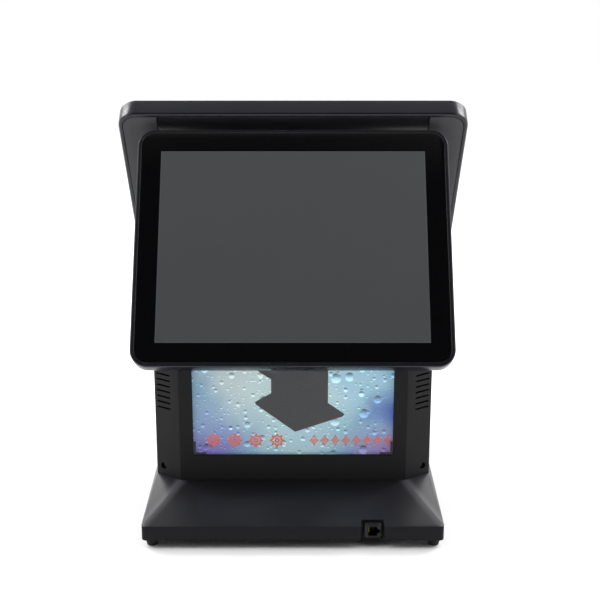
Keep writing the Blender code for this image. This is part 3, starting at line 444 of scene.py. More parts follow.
def turnedPiece(name, outline, place, axis, material=None, steps=32, crease=32):
    # outline holds (radius, along) pairs, turned round axis by a Screw modifier
    mesh = bpy.data.meshes.new(name)
    edges = [(i, i + 1) for i in range(len(outline) - 1)]
    mesh.from_pydata([(radius, 0, along) for radius, along in outline], edges, [])
    item = bpy.data.objects.new(name, mesh)
    bpy.context.scene.collection.objects.link(item)
    screw = item.modifiers.new("turn", "SCREW")
    screw.angle = 2 * pi
    screw.steps = screw.render_steps = steps
    screw.use_merge_vertices = True
    screw.merge_threshold = 0.000001
    item.matrix_world = Matrix.Translation(place) @ Vector(axis).to_track_quat("Z", "Y").to_matrix().to_4x4()
    settled(item, material, crease)
    shape = bmesh.new()
    shape.from_mesh(item.data)
    bmesh.ops.remove_doubles(shape, verts=shape.verts, dist=0.000002)
    bmesh.ops.recalc_face_normals(shape, faces=shape.faces)
    shape.to_mesh(item.data)
    shape.free()
    return dressed(item, material, crease)


def localBox(node, space):
    back = space.inverted()
    points = [back @ vertex.co for vertex in frame["nodes"][node].data.vertices]
    return (Vector(min(p[i] for p in points) for i in range(3)),
            Vector(max(p[i] for p in points) for i in range(3)))


bodyOf = {node: body for body, nodes in frame["record"]["behaviour"]["bodies"].items() for node in nodes}


def standsFor(piece, node, *others):
    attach(piece, bodyOf[node])
    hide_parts(node, *others)
    return piece


def alsoOn(piece, node):
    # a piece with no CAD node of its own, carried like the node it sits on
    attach(piece, bodyOf[node])
    return piece


def refined(node, width, material=None, segments=2, angle=35):
    # the node's own shape with its edges broken, as a moulded or folded piece has them
    shape = bmesh.new()
    shape.from_mesh(frame["nodes"][node].data)
    bmesh.ops.remove_doubles(shape, verts=shape.verts, dist=0.000005)
    bmesh.ops.dissolve_limit(shape, angle_limit=radians(1), verts=shape.verts, edges=shape.edges)
    piece = toObject(node + "Finished", shape, material or slotFinish[nodeSlot[node]])
    edgeSoftened(piece, width, segments, angle)
    return standsFor(piece, node)


# ---- geometry node trees for what repeats

def startTree(name, inputs):
    tree = bpy.data.node_groups.new(name, "GeometryNodeTree")
    tree.interface.new_socket("Geometry", in_out="INPUT", socket_type="NodeSocketGeometry")
    for label, kind, default in inputs:
        socket = tree.interface.new_socket(label, in_out="INPUT", socket_type="NodeSocket" + kind)
        if default is not None:
            socket.default_value = default
    tree.interface.new_socket("Geometry", in_out="OUTPUT", socket_type="NodeSocketGeometry")
    return tree, tree.nodes.new("NodeGroupInput"), tree.nodes.new("NodeGroupOutput")


def treeNode(tree, kind, inputs=None, **settings):
    node = tree.nodes.new(kind)
    for key, value in settings.items():
        setattr(node, key, value)
    for key, value in (inputs or {}).items():
        if isinstance(value, bpy.types.NodeSocket):
            tree.links.new(value, node.inputs[key])
        else:
            node.inputs[key].default_value = value
    return node


def buildRowTree():
    # a grid of one part, Columns by Rows, Across and Up apart
    tree, given, result = startTree("repeatedRow", [
        ("Part", "Object", None), ("Columns", "Int", 1), ("Rows", "Int", 1),
        ("Across", "Float", 0.01), ("Up", "Float", 0.01), ("Finish", "Material", None)])
    columns = treeNode(tree, "GeometryNodeMeshLine", {"Count": given.outputs["Columns"]}, mode="OFFSET")
    across = treeNode(tree, "ShaderNodeCombineXYZ", {"X": given.outputs["Across"]})
    tree.links.new(across.outputs[0], columns.inputs["Offset"])
    rows = treeNode(tree, "GeometryNodeMeshLine", {"Count": given.outputs["Rows"]}, mode="OFFSET")
    up = treeNode(tree, "ShaderNodeCombineXYZ", {"Z": given.outputs["Up"]})
    tree.links.new(up.outputs[0], rows.inputs["Offset"])
    rowPoints = treeNode(tree, "GeometryNodeInstanceOnPoints", {"Points": columns.outputs[0],
                         "Instance": rows.outputs[0]})
    flat = treeNode(tree, "GeometryNodeRealizeInstances", {0: rowPoints.outputs[0]})
    part = treeNode(tree, "GeometryNodeObjectInfo", {"Object": given.outputs["Part"]},
                    transform_space="ORIGINAL")
    placed = treeNode(tree, "GeometryNodeInstanceOnPoints", {"Points": flat.outputs[0],
                      "Instance": part.outputs["Geometry"]})
    real = treeNode(tree, "GeometryNodeRealizeInstances", {0: placed.outputs[0]})
    finish = treeNode(tree, "GeometryNodeSetMaterial",
                      {0: real.outputs[0], "Material": given.outputs["Finish"]})
    tree.links.new(finish.outputs[0], result.inputs[0])
    return tree


def buildScatterTree():
    # one part on every point, standing along the point's own facing
    tree, given, result = startTree("fixings", [("Part", "Object", None), ("Finish", "Material", None),
                                                ("Seed", "Int", 7)])
    facing = treeNode(tree, "GeometryNodeInputNamedAttribute", {"Name": "facing"}, data_type="FLOAT_VECTOR")
    twist = treeNode(tree, "FunctionNodeRandomValue", {"Seed": given.outputs["Seed"]}, data_type="FLOAT")
    twist.inputs[2].default_value = 0.0
    twist.inputs[3].default_value = 2 * pi
    stand = treeNode(tree, "FunctionNodeAlignRotationToVector", {"Vector": facing.outputs[0]}, axis="Z")
    spin = treeNode(tree, "ShaderNodeCombineXYZ", {"Z": twist.outputs[1]})
    own = treeNode(tree, "FunctionNodeEulerToRotation", {0: spin.outputs[0]})
    turn = treeNode(tree, "FunctionNodeRotateRotation", {0: stand.outputs[0], 1: own.outputs[0]},
                    rotation_space="LOCAL")
    part = treeNode(tree, "GeometryNodeObjectInfo", {"Object": given.outputs["Part"]},
                    transform_space="ORIGINAL")
    placed = treeNode(tree, "GeometryNodeInstanceOnPoints", {"Points": given.outputs["Geometry"],
                      "Instance": part.outputs["Geometry"], "Rotation": turn.outputs[0]})
    real = treeNode(tree, "GeometryNodeRealizeInstances", {0: placed.outputs[0]})
    finish = treeNode(tree, "GeometryNodeSetMaterial",
                      {0: real.outputs[0], "Material": given.outputs["Finish"]})
    tree.links.new(finish.outputs[0], result.inputs[0])
    return tree


rowTree = buildRowTree()
scatterTree = buildScatterTree()


def runTree(item, tree, **values):
    modifier = item.modifiers.new("repeat", "NODES")
    modifier.node_group = tree
    for socket in tree.interface.items_tree:
        if socket.in_out == "INPUT" and socket.name in values:
            modifier[socket.identifier] = values[socket.name]


def repeated(name, part, space, columns, rows, across, up, material=None, crease=32):
    # the part is used up; space turns and places the whole grid, whose middle is the origin
    mesh = bpy.data.meshes.new(name)
    item = bpy.data.objects.new(name, mesh)
    bpy.context.scene.collection.objects.link(item)
    runTree(item, rowTree, Part=part, Columns=columns, Rows=rows, Across=across, Up=up, Finish=material)
    item.matrix_world = space @ Matrix.Translation((-across * (columns - 1) / 2, 0, -up * (rows - 1) / 2))
    settled(item, material, crease)
    bpy.data.objects.remove(part)
    return item


def scattered(name, part, spots, material, crease=32, seed=7):
    # spots holds (place, facing) pairs
    mesh = bpy.data.meshes.new(name)
    mesh.from_pydata([place for place, facing in spots], [], [])
    attribute = mesh.attributes.new("facing", "FLOAT_VECTOR", "POINT")
    for entry, (place, facing) in zip(attribute.data, spots):
        entry.vector = facing
    item = bpy.data.objects.new(name, mesh)
    bpy.context.scene.collection.objects.link(item)
    runTree(item, scatterTree, Part=part, Finish=material, Seed=seed)
    settled(item, material, crease)
    bpy.data.objects.remove(part)
    return item


def flaredHole(name, space, width, height, corner, profile, steps):
    # a rounded hole's cutter through y, grown at each (y, growth) of profile
    return loft(name, [[space @ Vector((x, y, z)) for x, z in
                        loop(width + 2 * grow, height + 2 * grow, corner + grow, steps)]
                        for y, grow in profile], None)


def mouth(flare, outside, run, depth, way=1):
    # a hole's profile: wider by flare at its rim, straight from run to depth; way -1 enters from behind
    return [(-outside * way, flare), (0.0, flare), (run * way, 0.0), (depth * way, 0.0)]


def stadium(name, length, height, taper=0.0, depth=0.02, steps=6):
    # a slot's cutter along x, through y; taper widens it towards the front, at -y
    profile = [(-depth / 2, taper), (depth / 2, 0.0)]
    if taper:
        profile[1:1] = [(-0.0001, taper), (taper, 0.0)]
    return flaredHole(name, Matrix.Identity(4), length, height, min(length, height) / 2 - 0.00001, profile,
                      steps)


# the dome's points are radius and rise, as shares of the head's
screwPlan = {"skirt": 0.0006, "dome": [(1, 0.35), (0.92, 0.72), (0.7, 0.94), (0.35, 1), (0, 1)],
             "arm": 1.15, "slit": 0.2, "socket": 0.5}


def screwHead(name, radius, rise, material, recess="cross"):
    # a domed head on z = 0 with its driver recess
    plan = screwPlan
    outline = [(0, -plan["skirt"]), (radius, -plan["skirt"])]
    outline += [(radius * out, rise * up) for out, up in plan["dome"]]
    head = turnedPiece(name, outline, (0, 0, 0), (0, 0, 1), material, 24)
    if recess == "cross":
        arm, slit = radius * plan["arm"], radius * plan["slit"]
        return cutAway(head, *(block("driver", (*size, rise * 1.2), (0, 0, rise))
                               for size in ((arm, slit), (slit, arm))))
    shape = bmesh.new()
    across = radius * plan["socket"]
    bmesh.ops.create_cone(shape, cap_ends=True, segments=6, radius1=across, radius2=across, depth=rise * 1.3,
                          matrix=Matrix.Translation((0, 0, rise)))
    return cutAway(head, toObject("driver", shape, None))


print("tools ready")


# ---- base

frontEdge = low.y
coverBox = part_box("base_cover")
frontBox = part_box("body_front_shell")
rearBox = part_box("body_rear_shell")
reach = 0.01        # how far a cutter stands past the face it opens

basePlan = {
    "bandTop": 0.0272, "deck": 0.0464,      # heights above the floor
    "wall": 0.0025, "corner": 0.005, "ridge": 0.0009, "hip": 0.0045, "seam": 0.0003, "plateEdge": 0.0004,
    # reach and colour of the painted highlight along the two front hips
    "highlightReach": 0.011, "highlightColour": (0.052, 0.051, 0.057, 1),
    "pocketX": 0.0887, "pocketWidth": 0.0255, "pocketDepth": 0.0114, "pocketCorner": 0.0022,
    "pocketFlare": 0.0006, "pocketRoom": 0.0032,                   # above the jack
}
bodyPlan = {
    "faceWidth": 0.261, "chamferDepth": 0.0204, "wall": 0.0025, "topRound": 0.007, "frontCorner": 0.0016,
    "rearCorner": 0.012, "windowWidth": 0.230, "windowHeight": 0.108, "windowCorner": 0.0012,
    "windowFlare": 0.0007, "sill": 0.0313, "panelRoom": 0.0003, "panelCorner": 0.0008, "panelFlare": 0.0006,
    "buttonHole": 0.0063, "flare": 0.0005, "cableHole": (0.030, 0.020, 0.02),
}
halfBody = frontBox[1].x
bodyFront, bodyBack = frontBox[0].y, rearBox[1].y
bodyBottom, bodyTop = frontBox[0].z, frontBox[1].z
chamferRun = halfBody - bodyPlan["faceWidth"] / 2
chamferLength = hypot(chamferRun, bodyPlan["chamferDepth"])
chamferAngle = atan2(bodyPlan["chamferDepth"], chamferRun)
windowMiddle = bodyBottom + bodyPlan["sill"] + bodyPlan["windowHeight"] / 2


def bodyCorners():
    # the body's plan, each corner with its radius
    face = bodyPlan["faceWidth"] / 2
    shoulder = bodyFront + bodyPlan["chamferDepth"]
    return [((-face, bodyFront), bodyPlan["frontCorner"]), ((face, bodyFront), bodyPlan["frontCorner"]),
            ((halfBody, shoulder), bodyPlan["frontCorner"]), ((halfBody, bodyBack), bodyPlan["rearCorner"]),
            ((-halfBody, bodyBack), bodyPlan["rearCorner"]), ((-halfBody, shoulder), bodyPlan["frontCorner"])]


def insetPlan(corners, inset, steps=6):
    # the plan moved inwards by inset, its corners rounded
    count = len(corners)
    points = [Vector(point) for point, radius in corners]
    moved = []
    for i in range(count):
        before = (points[i] - points[i - 1]).normalized()
        after = (points[(i + 1) % count] - points[i]).normalized()
        normalA, normalB = Vector((-before.y, before.x)), Vector((-after.y, after.x))
        moved.append(points[i] + (normalA + normalB) * (inset / (1 + normalA.dot(normalB))))
    outline = []
    for i in range(count):
        radius = max(corners[i][1] - inset, 0.0003)
        before = (moved[i - 1] - moved[i]).normalized()
        after = (moved[(i + 1) % count] - moved[i]).normalized()
        half = before.angle(after) / 2
        centre = moved[i] + (before + after).normalized() * (radius / sin(half))
        start = moved[i] + before * (radius / tan(half)) - centre
        end = moved[i] + after * (radius / tan(half)) - centre
        sweep = start.angle(end)
        for step in range(steps + 1):
            angle = sweep * step / steps
            outline.append(centre + (start * sin(sweep - angle) + end * sin(angle)) / sin(sweep))
    return outline


def bodyForm(name, inset, bottom, top, rounding, material=None):
    # the whole body's plan raised to a rounded top
    rings = []
    base = insetPlan(bodyCorners(), inset)
    rings.append([(p.x, p.y, bottom) for p in base])
    for grow, drop in reversed(quarterRound(rounding, 6)):
        outline = insetPlan(bodyCorners(), inset + grow)
        rings.append([(p.x, p.y, top - drop) for p in outline])
    return loft(name, rings, material)


def convex(name, points, material=None):
    shape = bmesh.new()
    for point in points:
        shape.verts.new(point)
    result = bmesh.ops.convex_hull(shape, input=shape.verts)
    loose = {v for v in result["geom_interior"] + result["geom_unused"] if isinstance(v, bmesh.types.BMVert)}
    bmesh.ops.delete(shape, geom=list(loose), context="VERTS")
    bmesh.ops.dissolve_limit(shape, angle_limit=radians(0.2), verts=shape.verts, edges=shape.edges)
    return toObject(name, shape, material)


def roundSome(item, width, segments, chosen):
    shape = bmesh.new()
    shape.from_mesh(item.data)
    edges = [edge for edge in shape.edges if chosen(edge)]
    bmesh.ops.bevel(shape, geom=edges, offset=width, segments=segments, profile=0.5, affect="EDGES",
                    clamp_overlap=True)
    bmesh.ops.recalc_face_normals(shape, faces=shape.faces)
    shape.to_mesh(item.data)
    shape.free()
    dressed(item, item.data.materials[0] if item.data.materials else None)
    return item


def basePoints(wall, bottom, bandTop, deck):
    first, last = coverBox
    band = [(x, y) for x in (first.x + wall, last.x - wall) for y in (first.y + wall, last.y - wall)]
    shoulder = bodyFront + bodyPlan["chamferDepth"]
    top = [(side * x, y) for side in (1, -1) for x, y in
           ((bodyPlan["faceWidth"] / 2, bodyFront), (halfBody, shoulder), (halfBody, bodyBack))]
    shrink, middle = 1 - wall / halfBody, (bodyFront + bodyBack) / 2
    return ([(x, y, z) for x, y in band for z in (bottom, bandTop)]
            + [(x * shrink, (y - middle) * shrink + middle, deck) for x, y in top])


def buildBase():
    plan, bottom = basePlan, coverBox[0].z
    bandTop, deck, wall = plan["bandTop"], plan["deck"], plan["wall"]
    near = 0.0005

    def climb(edge):
        return abs(edge.verts[0].co.z - edge.verts[1].co.z)

    def isSlope(edge, angle):
        return min(v.co.z for v in edge.verts) > bandTop - near and edge.calc_face_angle(0) > radians(angle)

    cover = convex("baseCover", basePoints(0, bottom, bandTop, deck), basePlastic)
    roundSome(cover, plan["corner"], 6, lambda e: climb(e) > 0.015
              and max(v.co.z for v in e.verts) < bandTop + near)
    # the four hips are broad, the band's top edge and the deck's edge tight
    roundSome(cover, plan["hip"], 5, lambda e: climb(e) > 0.01 and isSlope(e, 4))
    roundSome(cover, plan["ridge"], 3, lambda e: climb(e) < 0.004 and isSlope(e, 6))
    inside = convex("inside", basePoints(wall, bottom - reach, bandTop - wall / 2, deck - wall))
    x, width, depth, tall = plan["pocketX"], plan["pocketWidth"], plan["pocketDepth"], 0.2
    cutAway(inside, block("pocketWalls", (width + 2 * wall, 2 * (depth + wall), tall), (x, frontEdge, 0)))
    jackLow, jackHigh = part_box("drawer_jack")
    # the pocket's mouth has rounded upper corners and a broken edge
    space = Matrix.Translation((x, frontEdge, jackHigh.z + plan["pocketRoom"] - tall / 2))
    pocket = flaredHole("pocket", space, width, tall, plan["pocketCorner"],
                        mouth(plan["pocketFlare"], reach, plan["pocketFlare"], depth), 5)
    middle, room = (jackLow + jackHigh) / 2, 2 * plan["seam"]
    hole = block("jackHole",
                 (jackHigh.x - jackLow.x + room, jackHigh.y - jackLow.y + room, 2 * (jackHigh.z + room)),
                 (middle.x, middle.y, 0))
    cutAway(cover, inside, pocket, hole)
    # the slopes are satin, the band round them is textured
    # the slopes' material carries a painted highlight along the two front hips
    cover.data.materials.append(hipPaintedHighlight(slopePlastic))
    for face in cover.data.polygons:
        if face.normal.z > 0.2 and face.center.z > bandTop - 0.0004:
            face.material_index = 1
    standsFor(cover, "base_cover")
    refined("base_plate", plan["plateEdge"], blackCoat)


def hipPaintedHighlight(material):
    # the two front hips get a painted highlight: a paler colour along each hip, fading out to each side
    start = Vector((bodyPlan["faceWidth"] / 2, bodyFront))
    along = (Vector((coverBox[1].x, coverBox[0].y)) - start).normalized()
    across = Vector((-along.y, along.x, 0))
    parts = parted(material, objectPoint(material))
    flat = addNode(material, "ShaderNodeCombineXYZ",
                   {"X": maths(material, "ABSOLUTE", parts["X"]), "Y": parts["Y"]})
    aside = vectors(material, "DOT_PRODUCT", flat.outputs[0], across)
    away = maths(material, "ABSOLUTE", maths(material, "SUBTRACT", aside, across.xy.dot(start)))
    highlightMask = fitted(material, away, 1.0, 0.0, 0.0, basePlan["highlightReach"], interpolation_type="SMOOTHERSTEP")
    paint = material.node_tree.nodes["Principled BSDF"].inputs["Base Color"]
    link(material, mixed(material, highlightMask, paint.links[0].from_socket, basePlan["highlightColour"]), paint)
    return material


buildBase()


goldContact = drawnMetal("goldContact", (0.85, 0.62, 0.26), 0.28)
jackPlan = {
    "edge": 0.0006, "corner": 0.0012, "width": 0.0094, "height": 0.0110, "depth": 0.0125,
    "mouthCorner": 0.0003,
    "mouthFlare": 0.0007, "latch": 0.0034, "latchHeight": 0.0050, "latchTaper": 0.62, "latchFlare": 0.0004,
    "contact": (0.0006, 0.0055, 0.00045), "contactBack": 0.0088, "contactPitch": 0.00135, "contactTilt": 5,
}


def buildJack():
    plan = jackPlan
    jackLow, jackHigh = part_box("drawer_jack")
    middle, size = (jackLow + jackHigh) / 2, jackHigh - jackLow
    space = Matrix.Translation((middle.x, jackLow.y, middle.z))
    jack = slab("drawerJack", space, (0, 0), (size.x, size.z), plan["corner"],
                quarterRound(plan["edge"], 3) + [(0, size.y)], jackPlastic, steps=4)
    opening = flaredHole("plugMouth", space, plan["width"], plan["height"], plan["mouthCorner"],
                         mouth(plan["mouthFlare"], 0.002, 0.0009, plan["depth"]), 3)
    latch, inner, lap = [], 0.002, 0.001
    for y, grow in mouth(plan["latchFlare"], 0.002, 0.0006, plan["depth"]):
        # the notch narrows outwards
        root, half = plan["width"] / 2, plan["latchHeight"] / 2 + grow
        far, tip = root + plan["latch"] + grow, half * plan["latchTaper"]
        outline = [(inner, -half - lap), (root + lap, -half), (far, -tip), (far, tip), (root + lap, half),
                   (inner, half + lap)]
        latch.append([space @ Vector((x, y, z)) for x, z in outline])
    cutAway(jack, opening, loft("latchMouth", latch, None))
    standsFor(jack, "drawer_jack")
    # six sprung contacts along the mouth's left side
    contact = block("contact", plan["contact"], (0, 0, 0), goldContact)
    left = Matrix.Translation((plan["contact"][0] - plan["width"] / 2, plan["contactBack"], 0))
    turn = Matrix.Rotation(radians(plan["contactTilt"]), 4, "Z")
    contacts = repeated("drawerJackContacts", edgeSoftened(contact, 0.0001), space @ left @ turn, 1, 6, 0,
                        plan["contactPitch"], goldContact)
    alsoOn(contacts, "drawer_jack")


buildJack()


footOutline = [     # share of the radius, metres up, share of the height
    (0, 0.0006, 0), (0.55, 0.0006, 0), (0.62, 0, 0), (0.8, 0, 0), (0.86, 0.0004, 0), (0.88, 0.0012, 0),
    (0.9, 0, 0.34), (0.985, 0, 0.38), (1, 0, 0.43), (1, -0.0007, 1), (0.96, 0, 1), (0, 0, 1)]


def buildFeet():
    for node in ("foot_" + end + "_" + side for end in ("front", "rear") for side in ("left", "right")):
        a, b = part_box(node)
        radius, height = (b.x - a.x) / 2, b.z - a.z
        outline = [(radius * out, up + height * share) for out, up, share in footOutline]
        place = ((a.x + b.x) / 2, (a.y + b.y) / 2, a.z)
        standsFor(turnedPiece(node + "Rubber", outline, place, (0, 0, 1), footRubber, 40), node)


buildFeet()
print("base, jack and feet made")


# ---- body shells

def chamferSpot(side, along, height):
    share = along / chamferLength
    return Vector((side * (halfBody - share * chamferRun),
                   bodyFront + bodyPlan["chamferDepth"] * (1 - share), bodyBottom + height))


ventPlan = {"rows": 9, "pitch": 0.00683, "height": 0.0020, "length": 0.0196, "inset": 0.0138, "first": 0.0849,
            "taper": 0.00025}
rearVentPlan = {"x": 0.045, "rise": 0.085, "columns": 12, "rows": 5, "across": 0.0048, "up": 0.008,
                "width": 0.0022, "height": 0.0058}
shellScrewPlan = {"inset": 0.010, "rise": 0.0112, "hole": 0.0038, "sunk": 0.0042, "radius": 0.0031,
                  "head": 0.0011}


def chamferTurn(side):
    return Matrix.Rotation(side * chamferAngle, 4, "Z")


def ventCutters(name, side):
    plan = ventPlan
    slot = stadium("slot", plan["length"], plan["height"], plan["taper"])
    middle = plan["first"] + plan["pitch"] * (plan["rows"] - 1) / 2
    space = Matrix.Translation(chamferSpot(side, plan["inset"], middle)) @ chamferTurn(side)
    return repeated(name, slot, space, 1, plan["rows"], 0, plan["pitch"])


def roundCutter(name, radius, place, inward):
    wide = radius + bodyPlan["flare"]
    outline = [(0, -reach), (wide, -reach), (wide, 0), (radius, bodyPlan["flare"]), (radius, reach),
               (0, reach)]
    return turnedPiece(name, outline, place, inward, None, 32)


def buildShells():
    plan, inward = bodyPlan, Vector((0, 1, 0))
    wall, rounding, span = plan["wall"], plan["topRound"], 0.5
    seamFront, seamBack = frontBox[1].y, rearBox[0].y
    shells = []
    for name, lowY, highY in (("frontShell", bodyFront - reach, seamFront),
                              ("rearShell", seamBack, bodyBack + reach)):
        shell = bodyForm(name, 0, bodyBottom, bodyTop, rounding, shellPlastic)
        hollow = bodyForm("hollow", wall, bodyBottom - reach, bodyTop - wall, rounding - wall)
        half = block("half", (span, highY - lowY, span), (0, (lowY + highY) / 2, bodyTop - 0.1))
        cutAway(shell, half, operation="INTERSECT")
        shells.append(cutAway(shell, hollow))
    front, rear = shells

    space = Matrix.Translation((0, bodyFront, windowMiddle))
    cutAway(front, flaredHole("windowCutter", space, plan["windowWidth"], plan["windowHeight"],
                              plan["windowCorner"],
                              mouth(plan["windowFlare"], reach, plan["windowFlare"], 2 * reach), 5))
    for side in (-1, 1):
        cutAway(front, ventCutters("vents", side))
        place = chamferSpot(side, shellScrewPlan["inset"], shellScrewPlan["rise"])
        cutAway(front, roundCutter("recess", shellScrewPlan["hole"], place, chamferTurn(side) @ inward))
    standsFor(front, "body_front_shell")

    # rear: connector panel's opening, the button's hole, the cable hole under the yoke and the vents
    panelLow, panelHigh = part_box("io_plate")
    room = 2 * plan["panelRoom"]
    space = Matrix.Translation((0, bodyBack, (panelLow.z + panelHigh.z) / 2))
    cutAway(rear, flaredHole("panelCutter", space, panelHigh.x - panelLow.x + room,
                             panelHigh.z - panelLow.z + room, plan["panelCorner"],
                             mouth(plan["panelFlare"], reach, plan["panelFlare"], 2 * reach, -1), 4))
    button = sum(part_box("power_button"), Vector()) / 2
    cutAway(rear, roundCutter("buttonCutter", plan["buttonHole"], Vector((button.x, bodyBack, button.z)),
                              -inward))
    cutAway(rear, block("cableCutter", plan["cableHole"], (0, (seamFront + bodyBack) / 2, bodyTop)))
    vents = rearVentPlan
    for side in (1, -1):
        place = Matrix.Translation((side * vents["x"], bodyBack, bodyBottom + vents["rise"]))
        slot = stadium("rearSlot", vents["width"], vents["height"])
        cutAway(rear, repeated("rearVents", slot, place, vents["columns"], vents["rows"], vents["across"],
                               vents["up"]))
    standsFor(rear, "body_rear_shell")


buildShells()


def buildShellScrews():
    plan = shellScrewPlan
    spots = []
    for side in (-1, 1):
        inward = chamferTurn(side) @ Vector((0, 1, 0))
        spots.append((chamferSpot(side, plan["inset"], plan["rise"]) + plan["sunk"] * inward, -inward))
    head = screwHead("shellScrew", plan["radius"], plan["head"], blackCoat)
    standsFor(scattered("shellScrews", head, spots, blackCoat), "shell_screw_left", "shell_screw_right")


buildShellScrews()
print("body shells made")


# ---- lit picture window

picturePlan = {     # positions and reaches in half widths of the window
    "ground": (0.18, 0.38, 0.54, 1), "glow": 0.52, "strength": 0.9, "waver": 0.5, "waverScale": 2.2,
    # broad patches of colour: x, height, reach, colour
    "patches": [(-0.45, 0.40, 0.95, (0.56, 0.64, 0.64, 1)), (0.15, 0.25, 0.95, (0.56, 0.74, 0.72, 1)),
                (0.66, 0.40, 0.62, (0.38, 0.62, 0.76, 1)), (1.02, -0.02, 0.34, (0.05, 0.08, 0.42, 1)),
                (-0.98, 0.15, 0.38, (0.18, 0.34, 0.50, 1)), (-0.92, -0.66, 0.80, (0.22, 0.12, 0.48, 1)),
                (0.94, -0.74, 0.72, (0.36, 0.13, 0.42, 1)), (0.0, -0.52, 0.62, (0.46, 0.64, 0.70, 1))],
    # beads of water: cells in a half width, largest bead in a cell, share of bare cells, shift
    "beads": [(7.0, 0.40, 0.45, 0.0), (13.0, 0.36, 0.55, 3.7), (26.0, 0.32, 0.45, 8.3)],
    # height in the bead, brightness
    "smallest": 0.01, "rim": 0.82, "top": (0.75, 0.22), "bottom": (-0.9, 2.3),
}


def pictureFilm():
    plan = picturePlan
    material, shader = startMaterial("pictureFilm", (0.3, 0.5, 0.6), 0.35,
                                     **{"Emission Strength": plan["glow"]})
    half = bodyPlan["windowWidth"] / 2
    moved = addNode(material, "ShaderNodeMapping",
                    {"Vector": objectPoint(material), "Scale": (1 / half, 0, 1 / half),
                                                    "Location": (0, 0, -windowMiddle / half)})
    parts = parted(material, moved.outputs["Vector"])
    flat = addNode(material, "ShaderNodeCombineXYZ", {"X": parts["X"], "Y": parts["Z"]}).outputs[0]
    waver = addNode(material, "ShaderNodeTexNoise",
                    {"Vector": flat, "Scale": plan["waverScale"], "Detail": 2.0})
    shift = vectors(material, "SUBTRACT", waver.outputs["Color"], (0.5, 0.5, 0.5))
    warped = vectors(material, "ADD", flat, scaled(material, shift, plan["waver"]))
    colour = plan["ground"]
    for x, z, spread, tint in plan["patches"]:
        away = vectors(material, "DISTANCE", warped, (x, z, 0.0))
        near = fitted(material, away, 0.0, plan["strength"], spread, 0.0, interpolation_type="SMOOTHSTEP")
        colour = mixed(material, near, colour, tint)
    for scale, share, bare, seed in plan["beads"]:
        here = vectors(material, "ADD", flat, (seed, seed * 0.7, 0))
        cells = addNode(material, "ShaderNodeTexVoronoi", {"Vector": here, "Scale": scale, "Randomness": 1.0},
                        voronoi_dimensions="2D").outputs
        pick = addNode(material, "ShaderNodeSeparateColor", {0: cells["Color"]}).outputs[0]
        size = fitted(material, pick, plan["smallest"], share, bare, 1.0)
        inside = fitted(material, maths(material, "DIVIDE", cells["Distance"], size), 0.0, 1.0, 1.0,
                        plan["rim"])
        rise = parted(material, vectors(material, "SUBTRACT", here, cells["Position"]))["Y"]
        level = maths(material, "DIVIDE", maths(material, "MULTIPLY", rise, scale), size)
        (top, dark), (bottom, bright) = plan["top"], plan["bottom"]
        lit = scaled(material, colour, fitted(material, level, dark, bright, top, bottom))
        colour = mixed(material, inside, colour, lit)
    link(material, colour, shader.inputs["Base Color"])
    link(material, colour, shader.inputs["Emission Color"])
    return material


filmPicture = pictureFilm()


def printedInk(name, colour, spread=0.12, glow=0.15):
    material, shader = startMaterial(name, colour, 0.4, **{"Emission Strength": glow})
    dots = fitted(material, noise(material, objectPoint(material), 700.0, 2.0), 1 - spread, 1 + spread)
    paint = scaled(material, colour, dots)
    link(material, paint, shader.inputs["Base Color"])
    link(material, paint, shader.inputs["Emission Color"])
    return material


coralInk = printedInk("coralInk", (0.95, 0.20, 0.12))
standInkLight = printedInk("standInkLight", (0.066, 0.066, 0.070))
standInkMiddle = printedInk("standInkMiddle", (0.047, 0.047, 0.051))
standInkDark = printedInk("standInkDark", (0.034, 0.034, 0.037))


# flat shapes printed on the film: ink, then x and height from the window's middle in millimetres
standFacets = [
    (standInkMiddle, [(-52, 57.5), (-38, 46), (-25, 37.6), (-25, 57.5)]),
    (standInkDark, [(-25, 57.5), (-25, 20.7), (-12, 14), (-12, 57.5)]),
    (standInkMiddle, [(-12, 57.5), (-12, 14), (22, 6), (22, 57.5)]),
    (standInkLight, [(22, 57.5), (22, 6), (40, 8.6), (40, 57.5)]),
    (standInkMiddle, [(-25, 20.7), (-43.3, 9.9), (2.3, -24), (-12, 14)]),
    (standInkDark, [(-12, 14), (2.3, -24), (22, 6)]),
    (standInkMiddle, [(22, 6), (2.3, -24), (58.8, -4.6), (40, 8.6)]),
    (standInkLight, [(-43.3, 9.9), (-43.3, 7.2), (2.3, -27), (2.3, -24)]),
    (standInkLight, [(2.3, -24), (2.3, -27), (57.5, -7.8), (58.8, -4.6)]),
]
# front and back, proud of the film
inkLayers = {"stand": (0.00012, 0.00003), "ornaments": (0.00014, 0.00004)}


def buildPicture():
    for node, width, material in (("picture_film", 0.0001, filmPicture),
                                  ("window_cover", 0.0004, windowAcrylic),
                                  ("light_diffuser", 0.0004, whitePlastic),
                                  ("lightbox_tray", 0.0002, whitePlastic)):
        refined(node, width, material)
    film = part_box("picture_film")[0].y
    shape = bmesh.new()
    inks = [standInkMiddle, standInkDark, standInkLight]
    for ink, corners in standFacets:
        front, back = ([shape.verts.new((x * millimetre, film - proud, windowMiddle + z * millimetre))
                        for x, z in corners] for proud in inkLayers["stand"])
        faces = [shape.faces.new(front), shape.faces.new(list(reversed(back)))]
        faces += [shape.faces.new((front[i], front[i - 1], back[i - 1], back[i])) for i in range(len(front))]
        for face in faces:
            face.material_index = inks.index(ink)
    stand = toObject("printedStand", shape, None)
    for ink in inks:
        stand.data.materials.append(ink)
    alsoOn(stand, "picture_film")


def starOutline(points, radius, inner, stretch=1.0):
    outline = []
    for i in range(2 * points):
        reach = radius if i % 2 == 0 else inner
        angle = i * pi / points
        outline.append((reach * sin(angle), reach * cos(angle) * stretch))
    return outline


